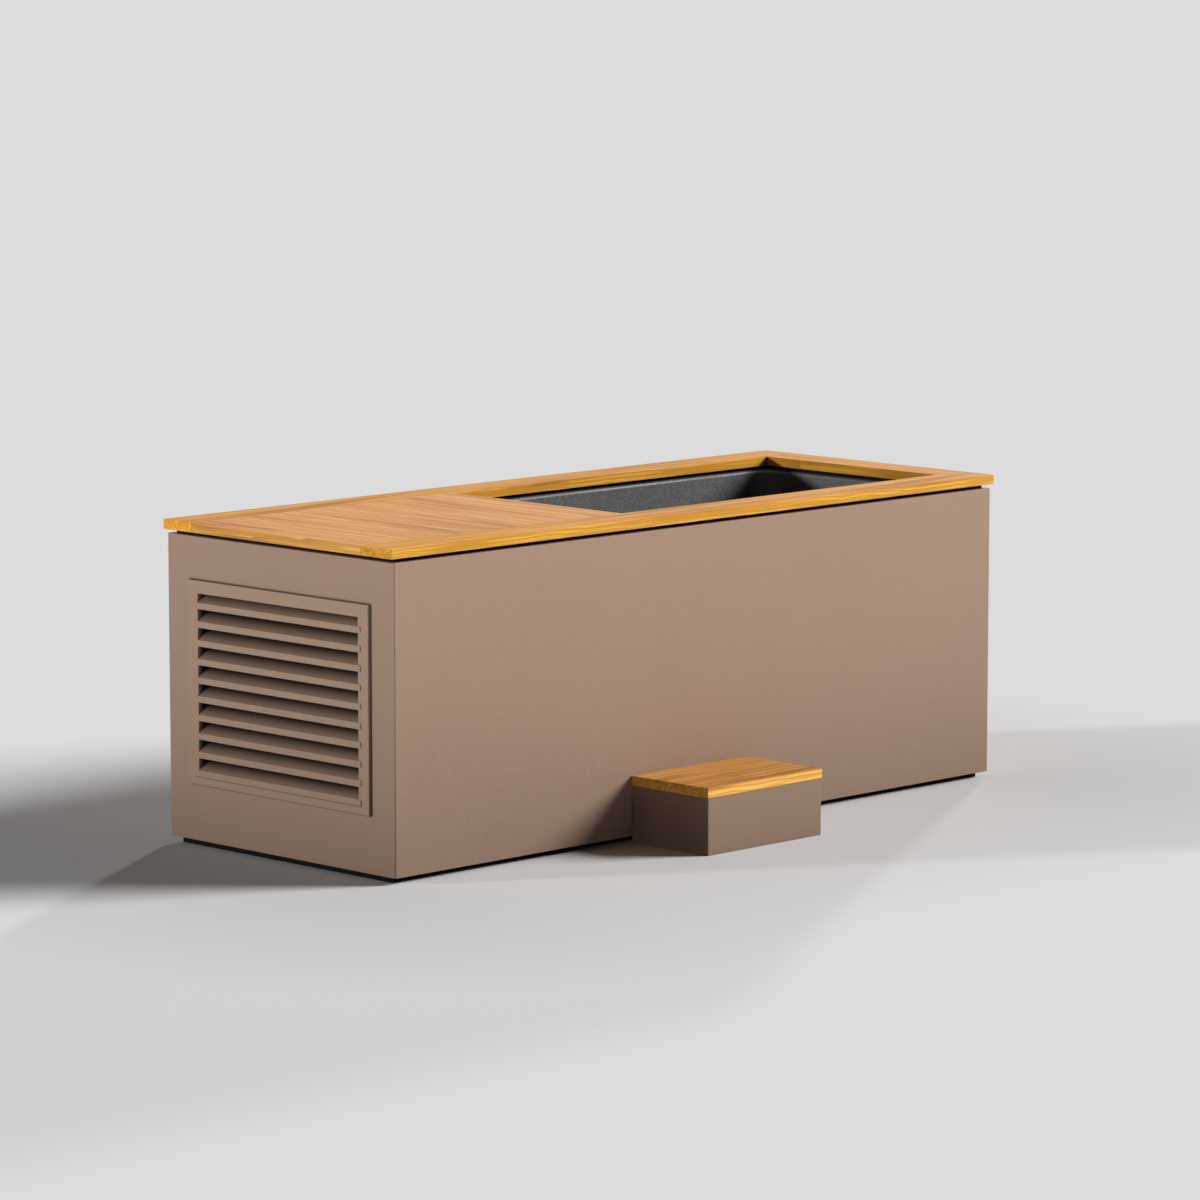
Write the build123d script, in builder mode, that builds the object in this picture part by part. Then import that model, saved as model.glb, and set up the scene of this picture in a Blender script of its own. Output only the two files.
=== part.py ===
from build123d import *
import math
import os

# Cold plunge tub with a chiller bay at its left end and a loose step in front.
# Millimetres. X runs along the tub, -Y is the front with the step, Z is up.
# The origin is the centre of the tub's base on the floor.

# Casing and timber top
casing_length = 2100.0
casing_width = 804.0
casing_height = 742.0
casing_corner = 3.0
casing_edge_round = 1.2
mitre_over = 5.0
sheet = 3.0
top_flange = 25.0
bottom_flange = 45.0
plinth_height = 16.0
plinth_recess_ends = 16.0
plinth_recess_sides = 27.0
plinth_chamfer = 1.0
reveal_height = 10.0
reveal_recess = 16.0
divider_bar_inset = 9.0
divider_bar_over = 1.0
top_thickness = 24.0
top_overhang_ends = 11.0
top_overhang_sides = 3.0
side_rail_width = 105.0
end_rail_width = 108.0
timber_round = 0.8
timber_joint = 0.2

# Hatch over the equipment bay
hatch_length = 861.0
hatch_side_gap = 0.8
hatch_ledge = 15.0
batten_width = 60.0
batten_thickness = 20.0
batten_inset = 90.0
batten_end_gap = 12.0
batten_chamfer = 2.0
hinge_pin_radius = 2.0
hinge_pin_clearance = 0.05
hinge_pin_stand = 1.0
hinge_knuckle_radius = 4.0
hinge_leaf_thickness = 2.0
hinge_leaf_width = 40.0
hinge_length = 560.0
hinge_knuckles = 9
hinge_gap = 0.4
hinge_edge_setback = 4.5

# Basin
basin_wall = 3.0
basin_setback = 4.0
basin_corner = 80.0
basin_floor_bend = 40.0
basin_rim_bend = 8.0
basin_flange_reach = 60.0
basin_flange_seat = 15.0
rim_clear = 2.0
fit_gap = 0.5
cut_over = 1.0

# Welded frame
tube_wall = 2.5
upper_tube_width = 50.0
upper_tube_height = 30.0
base_tube_width = 50.0
base_tube_height = 40.0
post_size = 40.0
weld_gap = 0.2
bearer_count = 4
bearer_width = 60.0
bearer_height = 96.0
insulation = 45.0
insulation_top_gap = 5.0
insulation_rise = 40.0
bulkhead_side_gap = 1.0

# Louvre on the left end
louvre_width = 640.0
louvre_rise = 139.0
louvre_drop = 105.0
louvre_proud = 8.0
louvre_sheet = 2.0
louvre_border = 35.0
louvre_top_border = 31.0
louvre_bottom_border = 30.0
louvre_throat = 48.0
louvre_fit = 1.0
blade_count = 10
blade_lip = 15.5
blade_run = 26.0
blade_lift = 21.0
blade_lip_drop = 9.3
blade_top_gap = 1.0
blade_ear = 9.0
blade_ear_round = 4.0
blade_fold = 0.5
blade_seat_rise = 0.3
blade_front_depth = 4.0
blade_fold_depth = 5.0
blade_slope_depth = 2.6
filter_pad = 12.0

# Chiller
coil_thickness = 40.0
coil_width = 520.0
coil_height = 450.0
coil_gap = 1.0
coil_plate = 2.0
coil_plate_margin = 6.0
coil_bend_radius = 16.0
coil_tube_radius = 5.0
coil_bend_count = 7
coil_bend_sink = 0.5
shroud_sheet = 2.0
fan_radius = 180.0
fan_setback = 12.0
fan_motor_gap = 12.0
fan_tip_gap = 8.0
fan_hub_radius = 42.0
fan_hub_length = 34.0
fan_hub_round = 6.0
fan_root_sink = 6.0
fan_blades = 5
fan_chord = 88.0
fan_pitch = 30.0
fan_blade_thickness = 2.0
fan_blade_round = 20.0
fan_shaft_radius = 6.0
fan_shaft_reach = 42.0
fan_shaft_end_gap = 7.0
fan_motor_radius = 46.0
fan_motor_length = 70.0
fan_motor_round = 8.0
motor_clamp_length = 24.0
motor_clamp_wall = 4.0
motor_arm_radius = 5.0
motor_arm_sink = 2.0
running_clearance = 0.05
compressor_radius = 68.0
compressor_height = 235.0
compressor_lift = 6.0
compressor_top_round = 37.4
compressor_base_round = 12.0
compressor_foot = 8.0
compressor_foot_half = 57.8
compressor_from_coil_side = 69.0
compressor_from_divider = 470.0
terminal_sink = 10.0
terminal_reach = 22.0
terminal_half = 22.0
terminal_bottom = 110.0
terminal_top = 165.0
exchanger_radius = 52.0
exchanger_below_return = 163.0
exchanger_from_divider = 460.0
exchanger_round = 14.0
exchanger_port_rise = 74.0
band_from_foot = 22.0
band_from_top = 46.0
band_width = 10.0
band_stand = 5.0
service_side_gap = 32.0
line_radius = 5.0
line_wall = 1.0
line_bend = 10.0
line_stub = 30.0
line_stub_sink = 10.0
line_stub_wall = 2.0
line_rise = 60.0
line_from_plate = 24.0
line_from_coil = 12.0
tray_sheet = 3.0
tray_lip = 15.0
tray_gap = 2.0

# Water circuit
pipe_radius = 19.0
pipe_wall = 2.5
pipe_bend = 40.0
suction_y = -120.0
suction_height = 260.0
return_y = 180.0
return_below_rim = 133.0
port_length = 14.0
port_wall = 5.0
port_sink = 10.0
port_bore_depth = 40.0
pump_radius = 74.0
pump_length = 60.0
pump_chamber = 56.0
pump_round = 10.0
pump_back_wall = 8.0
pump_front_wall = 12.0
pump_shaft_wall = 20.0
pump_port_sink = 5.0
pump_from_divider = 125.0
pump_motor_radius = 60.0
pump_motor_length = 165.0
pump_motor_round = 10.0
pump_foot_half = 42.0
pump_foot_drop = 48.0
pump_foot_start = 25.0
pump_foot_end = 15.0
motor_fins = 8
motor_fin = 4.0
motor_fin_start = 30.0
motor_fin_pitch = 14.0
motor_fin_stand = 6.0
motor_cavity_end = 30.0
motor_bore_end = 10.0
pump_shaft_radius = 7.0
pump_rotor_radius = 34.0
pump_rotor_gap = 2.0
pump_shaft_gap = 2.0
pump_rotor_end_gap = 10.0
impeller_inset = 14.0
impeller_disc = 5.0
impeller_gap = 6.0
impeller_vanes = 6
impeller_vane = 3.0
impeller_vane_height = 8.0
impeller_vane_clear = 12.0
impeller_vane_shift = 4.0
canister_radius = 75.0
canister_wall = 5.0
canister_height = 430.0
canister_y = 60.0
canister_inlet_drop = 80.0
lid_flange = 6.0
lid_dome = 26.0
lid_dome_round = 18.2
lid_dome_inset = 14.0
lid_spigot = 8.0
lid_knob_radius = 9.0
lid_knob_height = 12.0
lock_ring_height = 30.0
lock_ring_wall = 9.0
lock_ring_gap = 0.4
lock_ring_lugs = 6
lock_ring_lug_radius = 6.0
lock_ring_lip = 4.0
lock_ring_lip_reach = 12.0
cartridge_radius = 55.0
cartridge_core = 20.0
cartridge_pleats = 28
cartridge_valley = 44.0
cartridge_cap = 12.0
cartridge_cap_stand = 3.0
cartridge_top_gap = 30.0
valve_radius = 26.0
valve_length = 62.0
valve_from_divider = 14.0
valve_nut_stand = 5.0
valve_nut_length = 14.0
valve_neck_radius = 12.0
valve_neck_stand = 8.0
valve_stem_radius = 6.0
valve_stem_height = 14.0
lever_length = 80.0
lever_width = 15.0
lever_thickness = 5.0
lever_hub_radius = 11.0
lever_seat_gap = 0.4
lever_hub_stand = 3.0
lever_drop = 2.0

# Fittings in the basin
grille_radius = 52.0
grille_thickness = 7.0
grille_hole_radius = 4.0
grille_inner_hole_radius = 3.6
grille_round = 4.9
grille_skin = 3.0
grille_rings = ((0.0, 1), (10.5, 6), (32.0, 12))
stub_length = 60.0
jet_flange_radius = 40.0
jet_flange = 9.0
jet_flange_round = 3.0
jet_stub_wall = 9.0
jet_ball_radius = 18.0
jet_ball_gap = 0.5
jet_ball_sink = 10.0
jet_neck_wall = 5.0
jet_bore_radius = 7.0
jet_mouth_radius = 10.0
jet_mouth_depth = 6.0
grate_radius = 38.0
grate_thickness = 5.0
grate_slots = 5
grate_slot_half = 1.8
grate_round = 3.0
grate_neck_wall = 3.0
grate_slot_margin = 5.0
grate_slot_band = 6.0
drain_radius = 25.0
drain_from_basin_end = 110.0
drain_pipe_drop = 55.0
drain_stub = 16.0
drain_collar = 8.0
drain_collar_stand = 12.0
drain_flange = 6.0
drain_flange_stand = 10.0
drain_bend = 47.0
cap_wall = 4.0
cap_gap = 0.4
cap_end_gap = 1.0
cap_round = 2.0
cap_grip_half = 25.0
cap_grip_height = 10.0
cap_grip_thickness = 8.0

# Electrical
gland_radius = 10.0
gland_hex = 14.0
gland_nut = 5.0
gland_inside = 10.0
gland_dome = 16.0
gland_dome_radius = 11.5
gland_dome_round = 4.0
gland_bore_radius = 4.5
gland_from_end = 150.0
gland_rise = 95.0
control_length = 240.0
control_width = 96.0
control_height = 58.0
control_drop = 6.0
control_from_divider = 160.0
control_round = 5.0
display_length = 90.0
display_width = 46.0
display_depth = 1.5
display_from_end = 20.0
display_gap = 0.2
button_radius = 8.0
button_gap = 0.35
button_travel = 1.5
button_stand = 2.5
button_spacing = 28.0
button_from_end = 34.0
button_stem_length = 10.0
button_well_gap = 0.6
button_round = 1.0

# Step
step_length = 400.0
step_depth = 256.0
step_height = 165.0
step_tread_thickness = 24.0
step_tread_overhang = 1.5
step_from_left = 783.0
step_gap = 0.6
step_sheet = 3.0
step_corner = 2.0
step_flange = 30.0
step_flange_sink = 0.5
step_foot = 30.0
step_foot_height = 18.0
step_foot_lift = 1.0
step_screw_radius = 3.0
step_screw_inset = 15.0
step_screw_gap = 0.3
step_screw_fit = 0.02
step_screw_reach = 13.0
step_screw_pilot = 14.0
step_screw_head = 4.0
step_screw_head_radius = 6.0

# Levels and lines worked out from the sizes above
end_x = casing_length / 2
side_y = casing_width / 2
casing_bottom = plinth_height
casing_top = casing_bottom + casing_height
timber_bottom = casing_top + reveal_height
timber_top = timber_bottom + top_thickness
top_end_x = end_x + top_overhang_ends
top_side_y = side_y + top_overhang_sides
opening_x0 = -top_end_x + hatch_length
opening_x1 = top_end_x - end_rail_width
opening_y = top_side_y - side_rail_width
basin_x0 = opening_x0 - basin_setback
basin_x1 = opening_x1 + basin_setback
basin_y = opening_y + basin_setback
basin_mid_x = (basin_x0 + basin_x1) / 2
skin_x = end_x - sheet
skin_y = side_y - sheet
frame_top = casing_top - sheet
upper_tube_bottom = frame_top - upper_tube_height
base_tube_bottom = casing_bottom + sheet
base_tube_top = base_tube_bottom + base_tube_height
basin_underside = base_tube_top + bearer_height
basin_floor = basin_underside + basin_wall
tube_inner_y = skin_y - upper_tube_width
tube_inner_x = skin_x - upper_tube_width
divider_x1 = basin_x0 - basin_flange_reach + basin_flange_seat
divider_x0 = divider_x1 - upper_tube_width
post_divider_x0 = divider_x0 + (upper_tube_width - post_size) / 2
bulkhead_x1 = post_divider_x0
bulkhead_x0 = bulkhead_x1 - sheet
tray_top = base_tube_top + tray_sheet
louvre_bottom = casing_bottom + louvre_rise
louvre_top = casing_top - louvre_drop
louvre_height = louvre_top - louvre_bottom
louvre_open_y = louvre_width / 2 - louvre_border
louvre_open_top = louvre_top - louvre_top_border
louvre_open_bottom = louvre_bottom + louvre_bottom_border
louvre_face_x = -end_x - louvre_proud
louvre_back_x = louvre_face_x + louvre_throat
coil_x0 = -tube_inner_x + tray_gap + tray_sheet + coil_gap
coil_x1 = coil_x0 + coil_thickness
fan_z = (louvre_open_bottom + louvre_open_top) / 2
suction_z = suction_height
return_z = casing_top - return_below_rim
jet_stub_radius = jet_ball_radius + jet_neck_wall
jet_stub_bore = jet_stub_radius - jet_stub_wall
jet_centre_x = basin_x0 + jet_flange - jet_ball_sink
drain_x = basin_x0 + drain_from_basin_end
drain_z = basin_underside - drain_pipe_drop
gland_x = -end_x + gland_from_end
gland_z = casing_bottom + gland_rise
hinge_x = opening_x0 - hinge_edge_setback
hinge_z = (casing_top + timber_bottom) / 2
fan_hub_x0 = coil_x1 + fan_setback
fan_motor_x0 = fan_hub_x0 + fan_hub_length + fan_motor_gap
compressor_x = divider_x0 - compressor_from_divider
compressor_y = -coil_width / 2 + compressor_from_coil_side
compressor_top = tray_top + compressor_lift + compressor_height
exchanger_x = divider_x0 - exchanger_from_divider
exchanger_y = skin_y - post_size - service_side_gap - exchanger_radius
exchanger_top = return_z - exchanger_below_return
exchanger_port_z = tray_top + exchanger_port_rise
port_radius = pipe_radius + port_wall
pipe_bore = pipe_radius - pipe_wall
pump_x1 = divider_x0 - pump_from_divider
pump_x0 = pump_x1 - pump_length
pump_motor_x0 = pump_x0 - pump_motor_length
pump_out_x = pump_x0 + pump_length / 2
canister_x = pump_out_x
canister_top = tray_top + canister_height
canister_inlet_z = canister_top - canister_inlet_drop
valve_x1 = divider_x0 - valve_from_divider
valve_x0 = valve_x1 - valve_length
valve_x = (valve_x0 + valve_x1) / 2
valve_lines = ((suction_y, suction_z), (return_y, return_z))
control_x1 = divider_x0 - control_from_divider
control_x0 = control_x1 - control_length
control_y0 = -tube_inner_y
control_y1 = control_y0 + control_width
control_top = timber_bottom - batten_thickness - control_drop
control_bottom = control_top - control_height
button_y = (control_y0 + control_y1) / 2
button_first_x = control_x0 + button_from_end
display_x0 = control_x1 - display_from_end - display_length
step_x0 = -end_x + step_from_left
step_x1 = step_x0 + step_length
step_y1 = -side_y - step_gap
step_y0 = step_y1 - step_depth
step_middle = ((step_x0 + step_x1) / 2, (step_y0 + step_y1) / 2)
step_shell_top = step_height - step_tread_thickness
step_screw_pitch_x = step_length - 2 * (step_sheet + step_screw_inset)
step_screw_pitch_y = step_depth - 2 * (step_sheet + step_screw_inset)


def add_box(x0, x1, y0, y1, z0, z1, mode=Mode.ADD):
    """A box between two opposite corners."""
    with Locations(((x0 + x1) / 2, (y0 + y1) / 2, (z0 + z1) / 2)):
        return Box(x1 - x0, y1 - y0, z1 - z0, mode=mode)


def add_rod(start, axis, length, radius, mode=Mode.ADD):
    """A cylinder that starts at a point and runs along an axis."""
    with Locations(Plane(origin=start, z_dir=axis)):
        return Cylinder(radius, length, align=(Align.CENTER, Align.CENTER, Align.MIN), mode=mode)


def add_tube(axis, start, end, width, height, wall):
    """A rectangular hollow section between two ends on the X, Y or Z axis, given by its middle line."""
    length = (Vector(*end) - Vector(*start)).length
    with BuildSketch(Plane(origin=start, x_dir=TUBE_ACROSS[axis], z_dir=TUBE_ALONG[axis])) as section:
        Rectangle(width, height)
        Rectangle(width - 2 * wall, height - 2 * wall, mode=Mode.SUBTRACT)
    extrude(section.sketch, amount=length)


TUBE_ALONG = {"x": (1, 0, 0), "y": (0, 1, 0), "z": (0, 0, 1)}
TUBE_ACROSS = {"x": (0, 1, 0), "y": (1, 0, 0), "z": (1, 0, 0)}


def save(piece, name):
    """Names a finished piece and writes its file."""
    piece.part.label = name
    export_step(piece.part, f"parts/{name}.step")


def add_pipe(points, bend, outer, wall):
    """A round pipe along straight runs joined by arcs."""
    first = Vector(*points[0])
    with BuildLine() as route:
        if len(points) > 2:
            FilletPolyline(*points, radius=bend)
        else:
            Line(*points)
    with BuildSketch(Plane(origin=first, z_dir=Vector(*points[1]) - first)) as section:
        Circle(outer)
        Circle(outer - wall, mode=Mode.SUBTRACT)
    sweep(section.sketch, path=route.line)


# Plinth and frame


def make_plinth_board():
    """Solid black board under the casing, set back from it all round."""
    with BuildPart() as board:
        add_box(
            -end_x + plinth_recess_ends,
            end_x - plinth_recess_ends,
            -side_y + plinth_recess_sides,
            side_y - plinth_recess_sides,
            0,
            plinth_height,
        )
        chamfer(board.faces().sort_by(Axis.Z)[0].edges(), plinth_chamfer)
    save(board, "plinth_board")


def bearer_centres():
    """Where the bearers and the tubes below them cross the basin, evenly spaced."""
    pitch = (basin_x1 - basin_x0) / (bearer_count + 1)
    return [basin_x0 + pitch * (i + 1) for i in range(bearer_count)]


def make_base_frame():
    """Two long tubes and the cross tubes between them."""
    middle_z = base_tube_bottom + base_tube_height / 2
    long_y = skin_y - base_tube_width / 2
    inner_y = skin_y - base_tube_width - weld_gap
    ends = [-skin_x + base_tube_width / 2, skin_x - base_tube_width / 2]
    with BuildPart() as frame:
        for side in (-1, 1):
            add_tube(
                "x", (-skin_x, side * long_y, middle_z), (skin_x, side * long_y, middle_z),
                base_tube_width, base_tube_height, tube_wall,
            )
        for x in ends + [(divider_x0 + divider_x1) / 2] + bearer_centres():
            add_tube(
                "y", (x, -inner_y, middle_z), (x, inner_y, middle_z),
                base_tube_width, base_tube_height, tube_wall,
            )
    save(frame, "base_frame")


def make_posts():
    """Four corner posts and two at the bulkhead, between the base and the upper tubes."""
    post_y = skin_y - post_size / 2
    lines = [-skin_x + post_size / 2, post_divider_x0 + post_size / 2, skin_x - post_size / 2]
    with BuildPart() as posts:
        for x in lines:
            for side in (-1, 1):
                add_tube(
                    "z", (x, side * post_y, base_tube_top), (x, side * post_y, upper_tube_bottom),
                    post_size, post_size, tube_wall,
                )
    save(posts, "frame_posts")


def make_upper_frame():
    """Upper tubes that carry the basin's flange, the casing's flanges and the timber."""
    middle_z = frame_top - upper_tube_height / 2
    long_y = skin_y - upper_tube_width / 2
    inner_y = tube_inner_y - weld_gap
    cross = [-skin_x + upper_tube_width / 2, (divider_x0 + divider_x1) / 2, skin_x - upper_tube_width / 2]
    with BuildPart() as frame:
        for side in (-1, 1):
            add_tube(
                "x", (-skin_x, side * long_y, middle_z), (skin_x, side * long_y, middle_z),
                upper_tube_width, upper_tube_height, tube_wall,
            )
        for x in cross:
            add_tube(
                "y", (x, -inner_y, middle_z), (x, inner_y, middle_z),
                upper_tube_width, upper_tube_height, tube_wall,
            )
    save(frame, "upper_frame")


# Casing panels


def wedge(along, across, reach):
    """The part of the plan that belongs to the front side, cut at 45 degrees at both corners."""
    return [
        (-along - mitre_over, -across - mitre_over),
        (along + mitre_over, -across - mitre_over),
        (along - reach, -across + reach),
        (-along + reach, -across + reach),
    ]


def add_panel_skin(along, across):
    """The folded sheet of one side, drawn as if it were the front: skin, top flange and bottom flange."""
    levels = [
        (casing_bottom, casing_height, sheet),
        (casing_top - sheet, sheet, top_flange),
        (casing_bottom, sheet, bottom_flange),
    ]
    for start, height, reach in levels:
        with BuildSketch(Plane.XY.offset(start)) as ring:
            RectangleRounded(2 * along, 2 * across, casing_corner)
            Rectangle(2 * (along - reach), 2 * (across - reach), mode=Mode.SUBTRACT)
            Polygon(*wedge(along, across, bottom_flange + sheet), mode=Mode.INTERSECT)
        extrude(ring.sketch, amount=height)


def round_panel_edges(panel, across):
    """Rounds the fold lines between the skin and its two flanges."""
    outer = panel.edges().filter_by(lambda e: e.center().Y < -across + casing_corner)
    top = outer.filter_by_position(Axis.Z, casing_top - 0.01, casing_top + 0.01)
    bottom = outer.filter_by_position(Axis.Z, casing_bottom - 0.01, casing_bottom + 0.01)
    fold = (top + bottom).filter_by(lambda e: abs(e.center().Y + across) < casing_corner - 1)
    fillet(fold, casing_edge_round)


def make_front_panel():
    """Front of the casing, plain."""
    with BuildPart() as panel:
        add_panel_skin(end_x, side_y)
        round_panel_edges(panel, side_y)
    save(panel, "front_panel")


def make_rear_panel():
    """Rear of the casing, with holes for the drain and the mains gland."""
    with BuildPart() as front:
        add_panel_skin(end_x, side_y)
        round_panel_edges(front, side_y)
    turned = front.part.rotate(Axis.Z, 180)
    with BuildPart() as panel:
        add(turned)
        for x, z, radius in ((drain_x, drain_z, drain_radius), (gland_x, gland_z, gland_radius)):
            add_rod(
                (x, skin_y - cut_over, z), (0, 1, 0), sheet + 2 * cut_over, radius + fit_gap, Mode.SUBTRACT
            )
    save(panel, "rear_panel")


def make_right_panel():
    """Plain end of the casing."""
    with BuildPart() as front:
        add_panel_skin(side_y, end_x)
        round_panel_edges(front, end_x)
    turned = front.part.rotate(Axis.Z, 90)
    with BuildPart() as panel:
        add(turned)
    save(panel, "right_panel")


def make_left_panel():
    """End of the casing with the hole for the louvre's throat."""
    with BuildPart() as front:
        add_panel_skin(side_y, end_x)
        round_panel_edges(front, end_x)
    turned = front.part.rotate(Axis.Z, -90)
    hole_y = louvre_open_y + louvre_sheet + louvre_fit
    with BuildPart() as panel:
        add(turned)
        add_box(
            -end_x - cut_over, -skin_x + cut_over, -hole_y, hole_y,
            louvre_open_bottom - louvre_sheet - louvre_fit,
            louvre_open_top + louvre_sheet + louvre_fit,
            Mode.SUBTRACT,
        )
    save(panel, "left_panel")


# Black spacer between the casing and the timber


def make_reveal_spacers():
    """Bars that carry the timber clear of the casing, with a ledge for the hatch round the bay."""
    outer_x = end_x - reveal_recess
    outer_y = side_y - reveal_recess
    clear = basin_rim_bend + rim_clear
    basin_side_y = basin_y + clear
    ledge_y = opening_y - hatch_ledge
    middle_x0 = divider_x0 + divider_bar_inset
    middle_x1 = divider_x1 + divider_bar_over
    left_x1 = -tube_inner_x
    z0, z1 = casing_top, timber_bottom
    with BuildPart() as spacers:
        for side in (-1, 1):
            low, high = sorted((side * basin_side_y, side * outer_y))
            add_box(middle_x1 + weld_gap, outer_x, low, high, z0, z1)
            low, high = sorted((side * ledge_y, side * outer_y))
            add_box(-outer_x, middle_x1, low, high, z0, z1)
        end_y = basin_side_y - weld_gap
        add_box(basin_x1 + clear, outer_x, -end_y, end_y, z0, z1)
        inner_y = ledge_y - weld_gap
        add_box(middle_x0, middle_x1, -inner_y, inner_y, z0, z1)
        add_box(-outer_x, left_x1, -inner_y, inner_y, z0, z1)
    save(spacers, "reveal_spacers")


# Basin


def make_basin():
    """Sheet basin: straight walls, rounded upright corners, rounded floor edge, rolled rim and flange."""
    length = basin_x1 - basin_x0
    width = 2 * basin_y
    rim = casing_top
    with BuildPart() as basin:
        with BuildSketch(Plane.XY.offset(basin_underside)):
            with Locations((basin_mid_x, 0)):
                RectangleRounded(length + 2 * basin_wall, width + 2 * basin_wall, basin_corner + basin_wall)
        extrude(amount=rim - basin_underside)
        fillet(basin.faces().sort_by(Axis.Z)[0].edges(), basin_floor_bend + basin_wall)
        offset(amount=-basin_wall, openings=basin.faces().sort_by(Axis.Z)[-1])
        with BuildSketch(Plane.XY.offset(rim - sheet)):
            with Locations((basin_mid_x, 0)):
                Rectangle(length + 2 * basin_flange_reach, width + 2 * basin_flange_reach)
                RectangleRounded(length, width, basin_corner, mode=Mode.SUBTRACT)
        extrude(amount=sheet)
        under = basin.edges().filter_by_position(Axis.Z, rim - sheet - 0.01, rim - sheet + 0.01)
        near_x = length / 2 + 2 * basin_wall
        near_y = width / 2 + 2 * basin_wall
        wall_line = under.filter_by(
            lambda e: abs(e.center().X - basin_mid_x) < near_x and abs(e.center().Y) < near_y
        )
        fillet(wall_line, basin_rim_bend - basin_wall)
        top = basin.faces().sort_by(Axis.Z)[-1]
        fillet(top.inner_wires()[0].edges(), basin_rim_bend)
        add_rod(
            (basin_x0 - 2 * basin_wall, suction_y, suction_z), (1, 0, 0), 3 * basin_wall,
            pipe_radius + fit_gap, Mode.SUBTRACT,
        )
        add_rod(
            (basin_x0 - 2 * basin_wall, return_y, return_z), (1, 0, 0), 3 * basin_wall,
            jet_stub_radius + fit_gap, Mode.SUBTRACT,
        )
        add_rod(
            (drain_x, 0, basin_underside - cut_over), (0, 0, 1), basin_wall + 2 * cut_over,
            drain_radius + fit_gap, Mode.SUBTRACT,
        )
    save(basin, "basin")


def make_basin_bearers():
    """Blocks between the base tubes and the basin's floor."""
    half = basin_y - basin_floor_bend
    with BuildPart() as bearers:
        for x in bearer_centres():
            add_box(x - bearer_width / 2, x + bearer_width / 2, -half, half, base_tube_top, basin_underside)
    save(bearers, "basin_bearers")


def make_insulation():
    """Foam boards round the basin's four walls."""
    z0 = base_tube_top + insulation_rise
    z1 = upper_tube_bottom - insulation_top_gap
    inner_y = basin_y + basin_wall + fit_gap
    inner_x0 = basin_x0 - basin_wall - fit_gap
    inner_x1 = basin_x1 + basin_wall + fit_gap
    half = basin_y - fit_gap
    with BuildPart() as boards:
        for side in (-1, 1):
            low, high = sorted((side * inner_y, side * (inner_y + insulation)))
            add_box(inner_x0, inner_x1, low, high, z0, z1)
        add_box(inner_x1, inner_x1 + insulation, -half, half, z0, z1)
        add_box(inner_x0 - insulation, inner_x0, -half, half, z0, z1)
        for y, z, radius in ((suction_y, suction_z, pipe_radius), (return_y, return_z, jet_stub_radius)):
            add_rod(
                (inner_x0 - insulation - cut_over, y, z), (1, 0, 0), insulation + 2 * cut_over,
                radius + 2 * fit_gap, Mode.SUBTRACT,
            )
        add_rod(
            (drain_x, 0, drain_z), (0, 1, 0), skin_y, drain_radius + 2 * fit_gap, Mode.SUBTRACT
        )
    save(boards, "insulation_boards")


def make_bulkhead():
    """Sheet between the basin and the equipment bay, with holes for the two pipes."""
    half = skin_y - bulkhead_side_gap
    with BuildPart() as plate:
        add_box(bulkhead_x0, bulkhead_x1, -half, half, base_tube_top, upper_tube_bottom)
        for y, z in valve_lines:
            add_rod(
                (bulkhead_x0 - cut_over, y, z), (1, 0, 0), sheet + 2 * cut_over, pipe_radius + fit_gap,
                Mode.SUBTRACT,
            )
    save(plate, "bulkhead")


# Timber top


def make_rail(name, x0, x1, y0, y1):
    """One flat timber with its edges eased."""
    with BuildPart() as rail:
        add_box(x0, x1, y0, y1, timber_bottom, timber_top)
        fillet(rail.edges(), timber_round)
    save(rail, name)


def make_timber_frame():
    """Front and back rails over the whole length, and the end rail between them."""
    make_rail("front_rail", -top_end_x, top_end_x, -top_side_y, -opening_y)
    make_rail("back_rail", -top_end_x, top_end_x, opening_y, top_side_y)
    make_rail("end_rail", opening_x1, top_end_x, -opening_y + timber_joint, opening_y - timber_joint)


def make_hatch_panel():
    """Cross-grained panel over the bay; its left end overhangs as a finger grip."""
    make_rail(
        "hatch_panel", -top_end_x, opening_x0, -opening_y + hatch_side_gap, opening_y - hatch_side_gap
    )


def make_hatch_battens():
    """Two battens that keep the panel flat."""
    x0 = -tube_inner_x + batten_end_gap
    x1 = divider_x0
    with BuildPart() as battens:
        for side in (-1, 1):
            edge = side * (opening_y - batten_inset)
            low, high = sorted((edge, edge - side * batten_width))
            add_box(x0, x1, low, high, timber_bottom - batten_thickness, timber_bottom)
        chamfer(battens.faces().group_by(Axis.Z)[0].edges(), batten_chamfer)
    save(battens, "hatch_battens")


# Hatch hinge


def hinge_segments(first):
    """Start and length of every second knuckle, beginning with the given one."""
    pitch = hinge_length / hinge_knuckles
    return [
        (-hinge_length / 2 + i * pitch + hinge_gap / 2, pitch - hinge_gap)
        for i in range(first, hinge_knuckles, 2)
    ]


def make_hinge_leaf(name, own, other, plate_z0, plate_z1):
    """A hinge leaf: a plate with its own knuckles, cut back where the other leaf's knuckles turn."""
    plate_x0 = hinge_x - hinge_leaf_width
    cut_x = hinge_x - hinge_knuckle_radius - hinge_gap
    with BuildPart() as leaf:
        add_box(plate_x0, hinge_x, -hinge_length / 2, hinge_length / 2, plate_z0, plate_z1)
        for start, length in hinge_segments(other):
            add_box(
                cut_x, hinge_x + cut_over, start - hinge_gap, start + length + hinge_gap,
                plate_z0 - cut_over, plate_z1 + cut_over, Mode.SUBTRACT,
            )
        for start, length in hinge_segments(own):
            add_rod((hinge_x, start, hinge_z), (0, 1, 0), length, hinge_knuckle_radius)
        add_rod(
            (hinge_x, -hinge_length, hinge_z), (0, 1, 0), 2 * hinge_length,
            hinge_pin_radius + hinge_pin_clearance, Mode.SUBTRACT,
        )
    save(leaf, name)


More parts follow.
